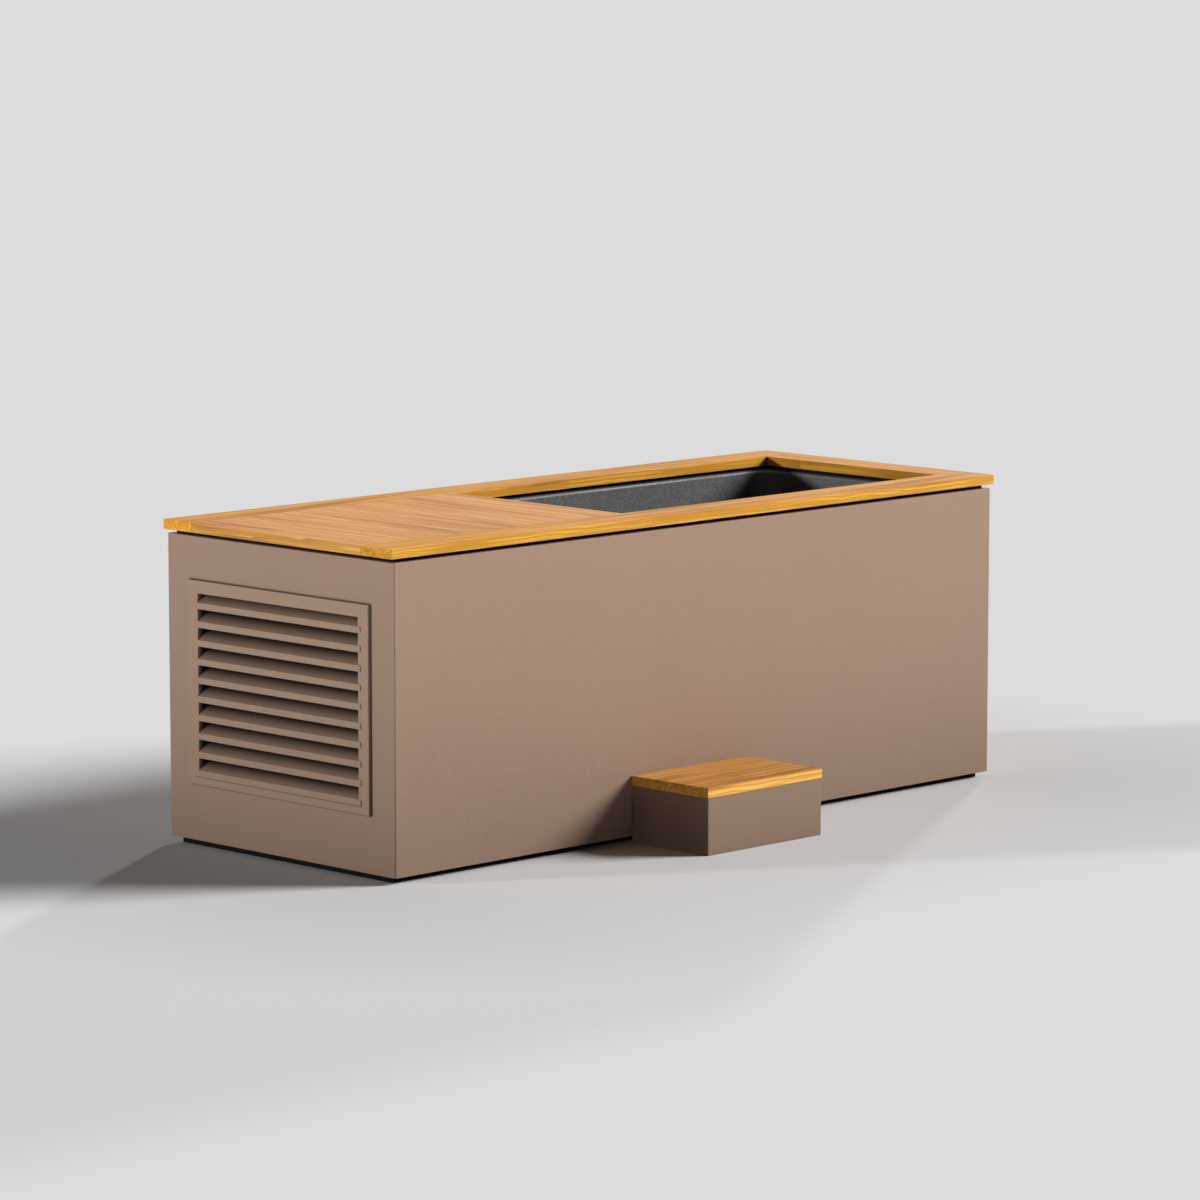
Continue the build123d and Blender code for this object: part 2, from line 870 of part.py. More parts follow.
def make_hinge():
    """Fixed leaf on the basin's flange, moving leaf under the hatch, and the pin through both."""
    make_hinge_leaf("hinge_leaf_fixed", 0, 1, casing_top, casing_top + hinge_leaf_thickness)
    make_hinge_leaf("hinge_leaf_hatch", 1, 0, timber_bottom - hinge_leaf_thickness, timber_bottom)
    with BuildPart() as pin:
        add_rod(
            (hinge_x, -hinge_length / 2 - hinge_pin_stand, hinge_z), (0, 1, 0),
            hinge_length + 2 * hinge_pin_stand, hinge_pin_radius,
        )
    save(pin, "hinge_pin")


# Louvre


def make_louvre_frame():
    """Formed flange that stands proud of the panel, with a returned edge and a throat behind."""
    middle_z = (louvre_bottom + louvre_top) / 2
    open_z = (louvre_open_bottom + louvre_open_top) / 2
    open_height = louvre_open_top - louvre_open_bottom
    face = Plane(origin=(louvre_face_x, 0, 0), x_dir=(0, 1, 0), z_dir=(1, 0, 0))
    with BuildPart() as frame:
        with BuildSketch(face):
            with Locations((0, middle_z)):
                Rectangle(louvre_width, louvre_height)
            with Locations((0, open_z)):
                Rectangle(2 * louvre_open_y, open_height, mode=Mode.SUBTRACT)
        extrude(amount=louvre_sheet)
        with BuildSketch(face):
            with Locations((0, middle_z)):
                Rectangle(louvre_width, louvre_height)
                Rectangle(
                    louvre_width - 2 * louvre_sheet, louvre_height - 2 * louvre_sheet, mode=Mode.SUBTRACT
                )
        extrude(amount=louvre_proud)
        with BuildSketch(face):
            with Locations((0, open_z)):
                Rectangle(2 * (louvre_open_y + louvre_sheet), open_height + 2 * louvre_sheet)
                Rectangle(2 * louvre_open_y, open_height, mode=Mode.SUBTRACT)
        extrude(amount=louvre_throat)
        front = frame.faces().sort_by(Axis.X)[0]
        fillet(front.outer_wire().edges(), casing_edge_round)
    save(frame, "louvre_frame")


def make_louvre_blades():
    """Ten fixed blades: an upright lip laid on the flange and a slope that rises into the throat."""
    lip_x0 = louvre_face_x - louvre_sheet
    slope_half = louvre_open_y - fit_gap
    lip_length = 2 * (louvre_open_y + blade_ear)
    lip_plane = Plane(origin=(lip_x0, 0, 0), x_dir=(0, 1, 0), z_dir=(1, 0, 0))
    slope_plane = Plane(origin=(0, slope_half, 0), x_dir=(1, 0, 0), z_dir=(0, -1, 0))
    first = louvre_open_bottom - blade_lip_drop
    last = louvre_open_top - blade_top_gap - blade_lift - blade_lip
    pitch = (last - first) / (blade_count - 1)
    with BuildPart() as blades:
        for i in range(blade_count):
            bottom = first + i * pitch
            top = bottom + blade_lip
            with BuildSketch(lip_plane):
                with Locations((0, bottom + blade_lip / 2)):
                    RectangleRounded(lip_length, blade_lip, blade_ear_round)
            extrude(amount=louvre_sheet)
            with BuildSketch(slope_plane):
                Polygon(
                    (lip_x0, top - blade_front_depth),
                    (louvre_face_x, top - blade_fold_depth),
                    (lip_x0 + blade_run, top + blade_lift - blade_slope_depth),
                    (lip_x0 + blade_run, top + blade_lift),
                    (louvre_face_x, top + blade_seat_rise),
                    (lip_x0, top - blade_fold),
                )
            extrude(amount=2 * slope_half)
    save(blades, "louvre_blades")


def make_filter_pad():
    """Dark foam pad that closes the throat behind the blades."""
    with BuildPart() as pad:
        add_box(
            louvre_back_x - filter_pad, louvre_back_x, -louvre_open_y + fit_gap, louvre_open_y - fit_gap,
            louvre_open_bottom + fit_gap, louvre_open_top - fit_gap,
        )
    save(pad, "louvre_filter_pad")


# Chiller


def make_equipment_tray():
    """Sheet tray on the base tubes that carries everything in the bay."""
    half = tube_inner_y - tray_gap
    x0 = -tube_inner_x + tray_gap
    x1 = bulkhead_x0 - tray_gap / 2
    with BuildPart() as tray:
        add_box(x0, x1, -half, half, base_tube_top, tray_top)
        add_box(x0, x0 + tray_sheet, -half, half, tray_top, tray_top + tray_lip)
        add_box(x1 - tray_sheet, x1, -half, half, tray_top, tray_top + tray_lip)
        for side in (-1, 1):
            low, high = sorted((side * half, side * (half - tray_sheet)))
            add_box(x0, x1, low, high, tray_top, tray_top + tray_lip)
    save(tray, "equipment_tray")


def make_condenser_coil():
    """Finned block between two end plates that stand on the tray, with return bends at the front side."""
    half = coil_width / 2
    z0 = fan_z - coil_height / 2
    z1 = fan_z + coil_height / 2
    bend_pitch = coil_height / coil_bend_count
    with BuildPart() as coil:
        add_box(coil_x0, coil_x1, -half, half, z0, z1)
        for side in (-1, 1):
            low, high = sorted((side * half, side * (half + coil_plate)))
            add_box(coil_x0, coil_x1 + coil_plate_margin, low, high, tray_top, z1 + coil_plate_margin)
        middle_x = (coil_x0 + coil_x1) / 2
        plate_y = -half - coil_plate
        for i in range(coil_bend_count):
            z = z0 + bend_pitch * (i + 0.5)
            start = (middle_x, plate_y + coil_bend_sink, z - coil_bend_radius)
            crown = (middle_x, plate_y - coil_bend_radius, z)
            end = (middle_x, plate_y + coil_bend_sink, z + coil_bend_radius)
            with BuildLine() as bend:
                ThreePointArc(start, crown, end)
            with BuildSketch(Plane(origin=start, z_dir=(0, -1, 0))):
                Circle(coil_tube_radius)
            sweep(path=bend.line)
    save(coil, "condenser_coil")


def make_fan_shroud():
    """Plate on the coil with a ring round the fan and four arms that hold the fan's motor."""
    x0 = coil_x1
    inner = fan_radius + fan_tip_gap
    face = Plane(origin=(x0, 0, 0), x_dir=(0, 1, 0), z_dir=(1, 0, 0))
    arm_x = fan_motor_x0 + motor_clamp_length / 2
    arm_start = fan_motor_radius + motor_arm_sink
    with BuildPart() as shroud:
        with BuildSketch(face):
            with Locations((0, fan_z)):
                Rectangle(coil_width - fit_gap, coil_height)
                Circle(inner, mode=Mode.SUBTRACT)
        extrude(amount=shroud_sheet)
        with BuildSketch(face):
            with Locations((0, fan_z)):
                Circle(inner + shroud_sheet)
                Circle(inner, mode=Mode.SUBTRACT)
        extrude(amount=fan_motor_x0 + motor_clamp_length - x0)
        for turn in range(4):
            angle = math.radians(45 + 90 * turn)
            direction = (0, math.cos(angle), math.sin(angle))
            start = (arm_x, arm_start * direction[1], fan_z + arm_start * direction[2])
            add_rod(start, direction, inner + shroud_sheet / 2 - arm_start, motor_arm_radius)
        add_rod(
            (fan_motor_x0, 0, fan_z), (1, 0, 0), motor_clamp_length, fan_motor_radius + motor_clamp_wall
        )
        add_rod(
            (fan_motor_x0 - cut_over, 0, fan_z), (1, 0, 0), motor_clamp_length + 2 * cut_over,
            fan_motor_radius + running_clearance, Mode.SUBTRACT,
        )
    save(shroud, "fan_shroud")


def make_fan_motor():
    """Round motor in the shroud's clamp, bored for the fan's shaft."""
    with BuildPart() as motor:
        add_rod((fan_motor_x0, 0, fan_z), (1, 0, 0), fan_motor_length, fan_motor_radius)
        fillet(motor.faces().sort_by(Axis.X)[-1].edges(), fan_motor_round)
        add_rod(
            (fan_motor_x0 - cut_over, 0, fan_z), (1, 0, 0), fan_shaft_reach + fan_shaft_end_gap,
            fan_shaft_radius + running_clearance, Mode.SUBTRACT,
        )
    save(motor, "fan_motor")


def make_fan():
    """Hub with five pitched blades on a shaft that turns in the motor."""
    middle_x = fan_hub_x0 + fan_hub_length / 2
    pitch = math.radians(fan_pitch)
    root = fan_hub_radius - fan_root_sink
    with BuildPart() as fan:
        add_rod((fan_hub_x0, 0, fan_z), (1, 0, 0), fan_hub_length, fan_hub_radius)
        fillet(fan.faces().sort_by(Axis.X)[0].edges(), fan_hub_round)
        for i in range(fan_blades):
            angle = 2 * math.pi * i / fan_blades
            radial = Vector(0, math.cos(angle), math.sin(angle))
            around = Vector(0, -math.sin(angle), math.cos(angle))
            normal = Vector(1, 0, 0) * math.cos(pitch) + around * math.sin(pitch)
            centre = Vector(middle_x, 0, fan_z) + radial * (root + fan_radius - fan_tip_gap) / 2
            with BuildSketch(Plane(origin=centre, x_dir=radial, z_dir=normal)) as outline:
                RectangleRounded(fan_radius - fan_tip_gap - root, fan_chord, fan_blade_round)
            extrude(outline.sketch, amount=fan_blade_thickness / 2, both=True)
        add_rod(
            (fan_hub_x0 + fan_hub_length / 2, 0, fan_z), (1, 0, 0),
            fan_hub_length / 2 + fan_motor_gap + fan_shaft_reach, fan_shaft_radius,
        )
    save(fan, "fan")


def make_compressor():
    """Sealed can on a foot plate, with its terminal cover and a line stub on top."""
    side_x = compressor_x + compressor_radius
    with BuildPart() as can:
        with Locations((compressor_x, compressor_y, tray_top + compressor_lift)):
            Cylinder(
                compressor_radius, compressor_height, align=(Align.CENTER, Align.CENTER, Align.MIN)
            )
        fillet(can.faces().sort_by(Axis.Z)[-1].edges(), compressor_top_round)
        fillet(can.faces().sort_by(Axis.Z)[0].edges(), compressor_base_round)
        add_box(
            compressor_x - compressor_radius, compressor_x + compressor_radius,
            compressor_y - compressor_foot_half, compressor_y + compressor_foot_half,
            tray_top, tray_top + compressor_foot,
        )
        add_box(
            side_x - terminal_sink, side_x + terminal_reach,
            compressor_y - terminal_half, compressor_y + terminal_half,
            tray_top + terminal_bottom, tray_top + terminal_top,
        )
        add_rod(
            (compressor_x, compressor_y, compressor_top - line_stub_sink), (0, 0, 1), line_stub,
            line_radius + line_stub_wall,
        )
    save(can, "compressor")


def make_heat_exchanger():
    """Upright shell with end caps, one water port near its foot and one on top."""
    port_top = exchanger_top + port_length
    with BuildPart() as shell:
        add_rod(
            (exchanger_x, exchanger_y, tray_top), (0, 0, 1), exchanger_top - tray_top, exchanger_radius
        )
        fillet(shell.faces().sort_by(Axis.Z)[-1].edges(), exchanger_round)
        for z in (tray_top + band_from_foot, exchanger_top - band_from_top):
            add_rod((exchanger_x, exchanger_y, z), (0, 0, 1), band_width, exchanger_radius + band_stand)
        add_rod(
            (exchanger_x, exchanger_y, exchanger_top - port_sink), (0, 0, 1), port_sink + port_length,
            port_radius,
        )
        add_rod(
            (exchanger_x, exchanger_y, exchanger_port_z), (1, 0, 0), exchanger_radius + port_length,
            port_radius,
        )
        add_rod(
            (exchanger_x, exchanger_y, port_top - port_bore_depth), (0, 0, 1), port_bore_depth + cut_over,
            pipe_bore, Mode.SUBTRACT,
        )
    save(shell, "heat_exchanger")


def make_refrigerant_lines():
    """Copper line from the compressor's top over and down to the coil's front end plate."""
    stub_top = compressor_top - line_stub_sink + line_stub
    high = stub_top + line_rise
    low = fan_z - coil_height / 2 + 2 * coil_height / coil_bend_count
    plate_y = -coil_width / 2 - coil_plate
    run_y = plate_y - line_from_plate
    drop_x = coil_x1 + line_from_coil
    end_x1 = coil_x1 - coil_thickness / 4
    points = [
        (compressor_x, compressor_y, stub_top),
        (compressor_x, compressor_y, high),
        (compressor_x, run_y, high),
        (drop_x, run_y, high),
        (drop_x, run_y, low),
        (end_x1, run_y, low),
        (end_x1, plate_y, low),
    ]
    with BuildPart() as lines:
        add_pipe(points, line_bend, line_radius, line_wall)
    save(lines, "refrigerant_line")


# Pump


def make_pump_body():
    """Pump casing: a round chamber with the suction port in front and the outlet on top."""
    with BuildPart() as body:
        add_rod((pump_x0, suction_y, suction_z), (1, 0, 0), pump_length, pump_radius)
        fillet(body.faces().sort_by(Axis.X)[-1].edges(), pump_round)
        add_rod(
            (pump_x1 - pump_port_sink, suction_y, suction_z), (1, 0, 0), pump_port_sink + port_length,
            port_radius,
        )
        add_rod((pump_out_x, suction_y, suction_z), (0, 0, 1), pump_radius + port_length, port_radius)
        add_rod(
            (pump_x0 + pump_back_wall, suction_y, suction_z), (1, 0, 0),
            pump_length - pump_back_wall - pump_front_wall, pump_chamber, Mode.SUBTRACT,
        )
        add_rod(
            (pump_out_x, suction_y, suction_z), (1, 0, 0), pump_length + port_length, pipe_bore,
            Mode.SUBTRACT,
        )
        add_rod(
            (pump_out_x, suction_y, suction_z), (0, 0, 1), pump_radius + port_length + cut_over, pipe_bore,
            Mode.SUBTRACT,
        )
        add_rod(
            (pump_x0 - cut_over, suction_y, suction_z), (1, 0, 0), pump_shaft_wall,
            pump_shaft_radius + running_clearance, Mode.SUBTRACT,
        )
    save(body, "pump_body")


def make_pump_motor():
    """Finned motor on its foot, with a cavity for the rotor."""
    cavity = pump_rotor_radius + pump_rotor_gap
    with BuildPart() as motor:
        add_rod((pump_motor_x0, suction_y, suction_z), (1, 0, 0), pump_motor_length, pump_motor_radius)
        fillet(motor.faces().sort_by(Axis.X)[0].edges(), pump_motor_round)
        for i in range(motor_fins):
            x = pump_motor_x0 + motor_fin_start + i * motor_fin_pitch
            add_rod((x, suction_y, suction_z), (1, 0, 0), motor_fin, pump_motor_radius + motor_fin_stand)
        add_box(
            pump_motor_x0 + pump_foot_start, pump_x0 - pump_foot_end,
            suction_y - pump_foot_half, suction_y + pump_foot_half,
            tray_top, suction_z - pump_foot_drop,
        )
        add_rod(
            (pump_motor_x0 + motor_cavity_end, suction_y, suction_z), (1, 0, 0),
            pump_motor_length - 2 * motor_cavity_end, cavity, Mode.SUBTRACT,
        )
        add_rod(
            (pump_motor_x0 + motor_bore_end, suction_y, suction_z), (1, 0, 0), pump_motor_length,
            pump_shaft_radius + running_clearance, Mode.SUBTRACT,
        )
    save(motor, "pump_motor")


def make_pump_rotor():
    """Shaft with the motor's rotor and the impeller."""
    impeller_x = pump_x0 + impeller_inset
    impeller_radius = pump_chamber - impeller_gap
    vane_x = impeller_x + impeller_disc
    shaft_x = pump_motor_x0 + motor_bore_end + pump_shaft_gap
    rotor_x = pump_motor_x0 + motor_cavity_end + pump_rotor_end_gap
    rotor_length = pump_motor_length - 2 * (motor_cavity_end + pump_rotor_end_gap)
    with BuildPart() as rotor:
        add_rod(
            (shaft_x, suction_y, suction_z), (1, 0, 0), vane_x + impeller_vane - shaft_x,
            pump_shaft_radius,
        )
        add_rod((rotor_x, suction_y, suction_z), (1, 0, 0), rotor_length, pump_rotor_radius)
        add_rod((impeller_x, suction_y, suction_z), (1, 0, 0), impeller_disc, impeller_radius)
        for i in range(impeller_vanes):
            angle = 2 * math.pi * i / impeller_vanes
            direction = (0, math.cos(angle), math.sin(angle))
            vane = Plane(origin=(vane_x, suction_y, suction_z), x_dir=direction, z_dir=(1, 0, 0))
            with BuildSketch(vane) as outline:
                with Locations((impeller_radius / 2 + impeller_vane_shift, 0)):
                    Rectangle(impeller_radius - impeller_vane_clear, impeller_vane)
            extrude(outline.sketch, amount=impeller_vane_height)
    save(rotor, "pump_rotor")


# Filter


def make_filter_canister():
    """Open-topped canister with its inlet port near the mouth and its outlet port near the foot."""
    neck = canister_radius + lock_ring_gap
    with BuildPart() as canister:
        add_rod((canister_x, canister_y, tray_top), (0, 0, 1), canister_height, canister_radius)
        add_rod((canister_x, canister_y, canister_inlet_z), (0, -1, 0), neck + port_length, port_radius)
        add_rod((canister_x, canister_y, exchanger_port_z), (-1, 0, 0), neck + port_length, port_radius)
        add_rod(
            (canister_x, canister_y, tray_top + canister_wall), (0, 0, 1), canister_height,
            canister_radius - canister_wall, Mode.SUBTRACT,
        )
        add_rod(
            (canister_x, canister_y, canister_inlet_z), (0, -1, 0), neck + port_length + cut_over,
            pipe_bore, Mode.SUBTRACT,
        )
        add_rod(
            (canister_x, canister_y, exchanger_port_z), (-1, 0, 0), neck + port_length + cut_over,
            pipe_bore, Mode.SUBTRACT,
        )
    save(canister, "filter_canister")


def make_filter_cartridge():
    """Pleated cartridge on its core."""
    height = canister_height - canister_wall - cartridge_top_gap
    points = []
    for i in range(cartridge_pleats):
        for part, radius in ((0.0, cartridge_radius), (0.5, cartridge_valley)):
            angle = 2 * math.pi * (i + part) / cartridge_pleats
            points.append((canister_x + radius * math.cos(angle), canister_y + radius * math.sin(angle)))
    base = tray_top + canister_wall
    with BuildPart() as cartridge:
        with BuildSketch(Plane.XY.offset(base)):
            Polygon(*points)
            with Locations((canister_x, canister_y)):
                Circle(cartridge_core, mode=Mode.SUBTRACT)
        extrude(amount=height)
        for z in (base, base + height - cartridge_cap):
            add_rod(
                (canister_x, canister_y, z), (0, 0, 1), cartridge_cap, cartridge_radius + cartridge_cap_stand
            )
        add_rod(
            (canister_x, canister_y, base + cartridge_cap), (0, 0, 1), height, cartridge_core, Mode.SUBTRACT
        )
    save(cartridge, "filter_cartridge")


def make_filter_lid():
    """Domed lid whose flange rests on the canister's mouth."""
    with BuildPart() as lid:
        add_rod((canister_x, canister_y, canister_top), (0, 0, 1), lid_flange, canister_radius)
        add_rod(
            (canister_x, canister_y, canister_top + lid_flange), (0, 0, 1), lid_dome,
            canister_radius - lid_dome_inset,
        )
        fillet(lid.faces().sort_by(Axis.Z)[-1].edges(), lid_dome_round)
        add_rod(
            (canister_x, canister_y, canister_top - lid_spigot), (0, 0, 1), lid_spigot,
            canister_radius - canister_wall - fit_gap,
        )
        add_rod(
            (canister_x, canister_y, canister_top + lid_flange + lid_dome - cut_over), (0, 0, 1),
            lid_knob_height + cut_over, lid_knob_radius,
        )
    save(lid, "filter_lid")


def make_lock_ring():
    """Ring that clamps the lid: a skirt round the canister and a lip over the lid's flange."""
    inner = canister_radius + lock_ring_gap
    outer = inner + lock_ring_wall
    bottom = canister_top + lid_flange + lock_ring_lip - lock_ring_height
    with BuildPart() as ring:
        add_rod((canister_x, canister_y, bottom), (0, 0, 1), lock_ring_height, outer)
        for i in range(lock_ring_lugs):
            angle = 2 * math.pi * i / lock_ring_lugs
            with Locations(
                (canister_x + outer * math.cos(angle), canister_y + outer * math.sin(angle), bottom)
            ):
                Cylinder(
                    lock_ring_lug_radius, lock_ring_height, align=(Align.CENTER, Align.CENTER, Align.MIN)
                )
        add_rod(
            (canister_x, canister_y, bottom - cut_over), (0, 0, 1),
            lock_ring_height - lock_ring_lip + cut_over, inner, Mode.SUBTRACT,
        )
        add_rod(
            (canister_x, canister_y, bottom), (0, 0, 1), lock_ring_height + cut_over,
            canister_radius - lock_ring_lip_reach, Mode.SUBTRACT,
        )
    save(ring, "filter_lock_ring")


# Valves


def make_valve_bodies():
    """Two ball-valve bodies in the suction and return lines."""
    neck_top = valve_radius + valve_neck_stand
    with BuildPart() as bodies:
        for y, z in valve_lines:
            add_rod((valve_x0, y, z), (1, 0, 0), valve_length, valve_radius)
            for x in (valve_x0, valve_x1 - valve_nut_length):
                with BuildSketch(Plane(origin=(x, y, z), z_dir=(1, 0, 0))) as nut:
                    RegularPolygon(valve_radius + valve_nut_stand, 6)
                extrude(nut.sketch, amount=valve_nut_length)
            add_rod((valve_x, y, z), (0, 0, 1), neck_top, valve_neck_radius)
            add_rod((valve_x, y, z + neck_top), (0, 0, 1), valve_stem_height, valve_stem_radius)
            add_rod(
                (valve_x0 - cut_over, y, z), (1, 0, 0), valve_length + 2 * cut_over, pipe_bore, Mode.SUBTRACT
            )
    save(bodies, "valve_bodies")


def make_valve_lever(name, y, z):
    """Lever on a valve's stem, in line with the pipe when open."""
    seat = z + valve_radius + valve_neck_stand + lever_seat_gap
    with BuildPart() as lever:
        add_rod((valve_x, y, seat), (0, 0, 1), valve_stem_height + lever_hub_stand, lever_hub_radius)
        with BuildSketch(Plane.XY.offset(seat + valve_stem_height - lever_drop)):
            with Locations((valve_x - lever_length / 2 + lever_width / 2, y)):
                SlotOverall(lever_length, lever_width)
        extrude(amount=lever_thickness)
        add_rod(
            (valve_x, y, seat - cut_over), (0, 0, 1), valve_stem_height + cut_over,
            valve_stem_radius + running_clearance, Mode.SUBTRACT,
        )
    save(lever, name)


# Pipes


def make_suction_pipes():
    """Pipes from the basin's suction fitting to the valve and from the valve to the pump."""
    stub_end = basin_x0 - stub_length
    with BuildPart() as pipes:
        for x0, x1 in ((stub_end, valve_x1), (valve_x0, pump_x1 + port_length)):
            add_pipe([(x0, suction_y, suction_z), (x1, suction_y, suction_z)], 0, pipe_radius, pipe_wall)
    save(pipes, "suction_pipes")


def make_delivery_pipes():
    """Pipes from the pump through the filter and the exchanger and back to the basin."""
    neck = canister_radius + lock_ring_gap + port_length
    pump_top = suction_z + pump_radius + port_length
    exchanger_side = exchanger_x + exchanger_radius + port_length
    middle_x = (canister_x - neck + exchanger_side) / 2
    to_filter = [
        (pump_out_x, suction_y, pump_top),
        (pump_out_x, suction_y, canister_inlet_z),
        (canister_x, canister_y - neck, canister_inlet_z),
    ]
    to_exchanger = [
        (canister_x - neck, canister_y, exchanger_port_z),
        (middle_x, canister_y, exchanger_port_z),
        (middle_x, exchanger_y, exchanger_port_z),
        (exchanger_side, exchanger_y, exchanger_port_z),
    ]
    to_valve = [
        (exchanger_x, exchanger_y, exchanger_top + port_length),
        (exchanger_x, exchanger_y, return_z),
        (exchanger_x, return_y, return_z),
        (valve_x0, return_y, return_z),
    ]
    to_basin = [(valve_x1, return_y, return_z), (basin_x0 - stub_length, return_y, return_z)]
    with BuildPart() as pipes:
        for points in (to_filter, to_exchanger, to_valve, to_basin):
            add_pipe(points, pipe_bend, pipe_radius, pipe_wall)
    save(pipes, "delivery_pipes")


# Fittings in the basin


def make_suction_grille():
    """Round grille inside the basin with a stub through its wall."""
    with BuildPart() as grille:
        add_rod((basin_x0, suction_y, suction_z), (1, 0, 0), grille_thickness, grille_radius)
        fillet(grille.faces().sort_by(Axis.X)[-1].edges(), grille_round)
        add_rod((basin_x0 - stub_length, suction_y, suction_z), (1, 0, 0), stub_length, pipe_radius)
        add_rod(
            (basin_x0 - stub_length - cut_over, suction_y, suction_z), (1, 0, 0), stub_length, pipe_bore,
            Mode.SUBTRACT,
        )
        for ring_radius, count in grille_rings:
            through = ring_radius < pipe_radius
            hole_x = basin_x0 - 2 * cut_over if through else basin_x0 + grille_skin
            hole_radius = grille_inner_hole_radius if through else grille_hole_radius
            for i in range(count):
                angle = 2 * math.pi * i / count
                hole_y = suction_y + ring_radius * math.cos(angle)
                hole_z = suction_z + ring_radius * math.sin(angle)
                add_rod(
                    (hole_x, hole_y, hole_z), (1, 0, 0), grille_thickness + 3 * cut_over, hole_radius,
                    Mode.SUBTRACT,
                )
    save(grille, "suction_grille")


def make_jet_body():
    """Jet flange on the basin's wall with a round socket and a stub through the wall."""
    with BuildPart() as body:
        add_rod((basin_x0, return_y, return_z), (1, 0, 0), jet_flange, jet_flange_radius)
        fillet(body.faces().sort_by(Axis.X)[-1].edges(), jet_flange_round)
        add_rod((basin_x0 - stub_length, return_y, return_z), (1, 0, 0), stub_length, jet_stub_radius)
        with Locations((jet_centre_x, return_y, return_z)):
            Sphere(jet_ball_radius + jet_ball_gap, mode=Mode.SUBTRACT)
        add_rod(
            (basin_x0 - stub_length - cut_over, return_y, return_z), (1, 0, 0), stub_length, jet_stub_bore,
            Mode.SUBTRACT,
        )
    save(body, "jet_body")


def make_jet_eye():
    """Ball with a nozzle bore that swivels in the socket."""
    with BuildPart() as eye:
        with Locations((jet_centre_x, return_y, return_z)):
            Sphere(jet_ball_radius)
        add_rod(
            (jet_centre_x - jet_ball_radius - cut_over, return_y, return_z), (1, 0, 0),
            2 * (jet_ball_radius + cut_over), jet_bore_radius, Mode.SUBTRACT,
        )
        add_rod(
            (jet_centre_x + jet_ball_radius - jet_mouth_depth, return_y, return_z), (1, 0, 0),
            jet_mouth_depth + cut_over, jet_mouth_radius, Mode.SUBTRACT,
        )
    save(eye, "jet_eye")


def make_drain_grate():
    """Slotted grate in the basin's floor with a short neck into the drain."""
    slot_pitch = 2 * (drain_radius - grate_slot_band) / grate_slots
    with BuildPart() as grate:
        add_rod((drain_x, 0, basin_floor), (0, 0, 1), grate_thickness, grate_radius)
        fillet(grate.faces().sort_by(Axis.Z)[-1].edges(), grate_round)
        add_rod((drain_x, 0, basin_underside), (0, 0, 1), basin_wall, drain_radius)
        add_rod(
            (drain_x, 0, basin_underside - cut_over), (0, 0, 1), basin_wall + 2 * cut_over,
            drain_radius - grate_neck_wall, Mode.SUBTRACT,
        )
        for i in range(grate_slots):
            offset_y = (i - (grate_slots - 1) / 2) * slot_pitch
            half = math.sqrt((drain_radius - grate_slot_margin) ** 2 - offset_y**2)
            add_box(
                drain_x - half, drain_x + half, offset_y - grate_slot_half, offset_y + grate_slot_half,
                basin_floor - cut_over, basin_floor + grate_thickness + cut_over, Mode.SUBTRACT,
            )
    save(grate, "drain_grate")


def make_drain_pipe():
    """Elbow from the basin's floor to the rear panel, ending in a collar and a spout outside."""
    outside = side_y + drain_collar + drain_stub
    first = Vector(drain_x, 0, basin_underside)
    with BuildPart() as pipe:
        with BuildLine() as route:
            FilletPolyline(
                (drain_x, 0, basin_underside), (drain_x, 0, drain_z), (drain_x, outside, drain_z),
                radius=drain_bend,
            )
        with BuildSketch(Plane(origin=first, z_dir=(0, 0, -1))):
            Circle(drain_radius)
            Circle(drain_radius - pipe_wall, mode=Mode.SUBTRACT)
        sweep(path=route.line)
        with BuildSketch(Plane(origin=(drain_x, side_y, drain_z), z_dir=(0, 1, 0))):
            Circle(drain_radius + drain_collar_stand)
            Circle(drain_radius - pipe_wall, mode=Mode.SUBTRACT)
        extrude(amount=drain_collar)
        with BuildSketch(Plane(origin=first, z_dir=(0, 0, -1))):
            Circle(drain_radius + drain_flange_stand)
            Circle(drain_radius - pipe_wall, mode=Mode.SUBTRACT)
        extrude(amount=drain_flange)
    save(pipe, "drain_pipe")


def make_drain_cap():
    """Cap over the spout with a grip bar across it."""
    y0 = side_y + drain_collar + cap_gap
    inner = drain_radius + cap_gap
    outer = inner + cap_wall
    length = drain_stub + cap_end_gap + cap_wall
    half = cap_grip_thickness / 2
    with BuildPart() as cap:
        add_rod((drain_x, y0, drain_z), (0, 1, 0), length, outer)
        fillet(cap.faces().sort_by(Axis.Y)[-1].edges(), cap_round)
        add_rod(
            (drain_x, y0 - cut_over, drain_z), (0, 1, 0), length - cap_wall + cut_over, inner, Mode.SUBTRACT
        )
        add_box(
            drain_x - cap_grip_half, drain_x + cap_grip_half, y0 + length - cut_over,
            y0 + length + cap_grip_height, drain_z - half, drain_z + half,
        )
    save(cap, "drain_cap")


# Electrical


def make_mains_gland():
    """Cable gland through the rear panel: barrel, hexagon and dome nut outside, lock nut inside."""
    inner_y = skin_y - gland_inside
    with BuildPart() as gland:
        add_rod((gland_x, inner_y, gland_z), (0, 1, 0), sheet + gland_inside, gland_radius)
        for y in (side_y, skin_y - gland_nut):
            with BuildSketch(Plane(origin=(gland_x, y, gland_z), z_dir=(0, 1, 0))) as nut:
                RegularPolygon(gland_hex, 6)
            extrude(nut.sketch, amount=gland_nut)
        add_rod((gland_x, side_y + gland_nut, gland_z), (0, 1, 0), gland_dome, gland_dome_radius)
        fillet(gland.faces().sort_by(Axis.Y)[-1].edges(), gland_dome_round)
        add_rod(
            (gland_x, inner_y - cut_over, gland_z), (0, 1, 0),
            gland_inside + sheet + gland_nut + gland_dome + 2 * cut_over, gland_bore_radius, Mode.SUBTRACT,
        )
    save(gland, "mains_gland")


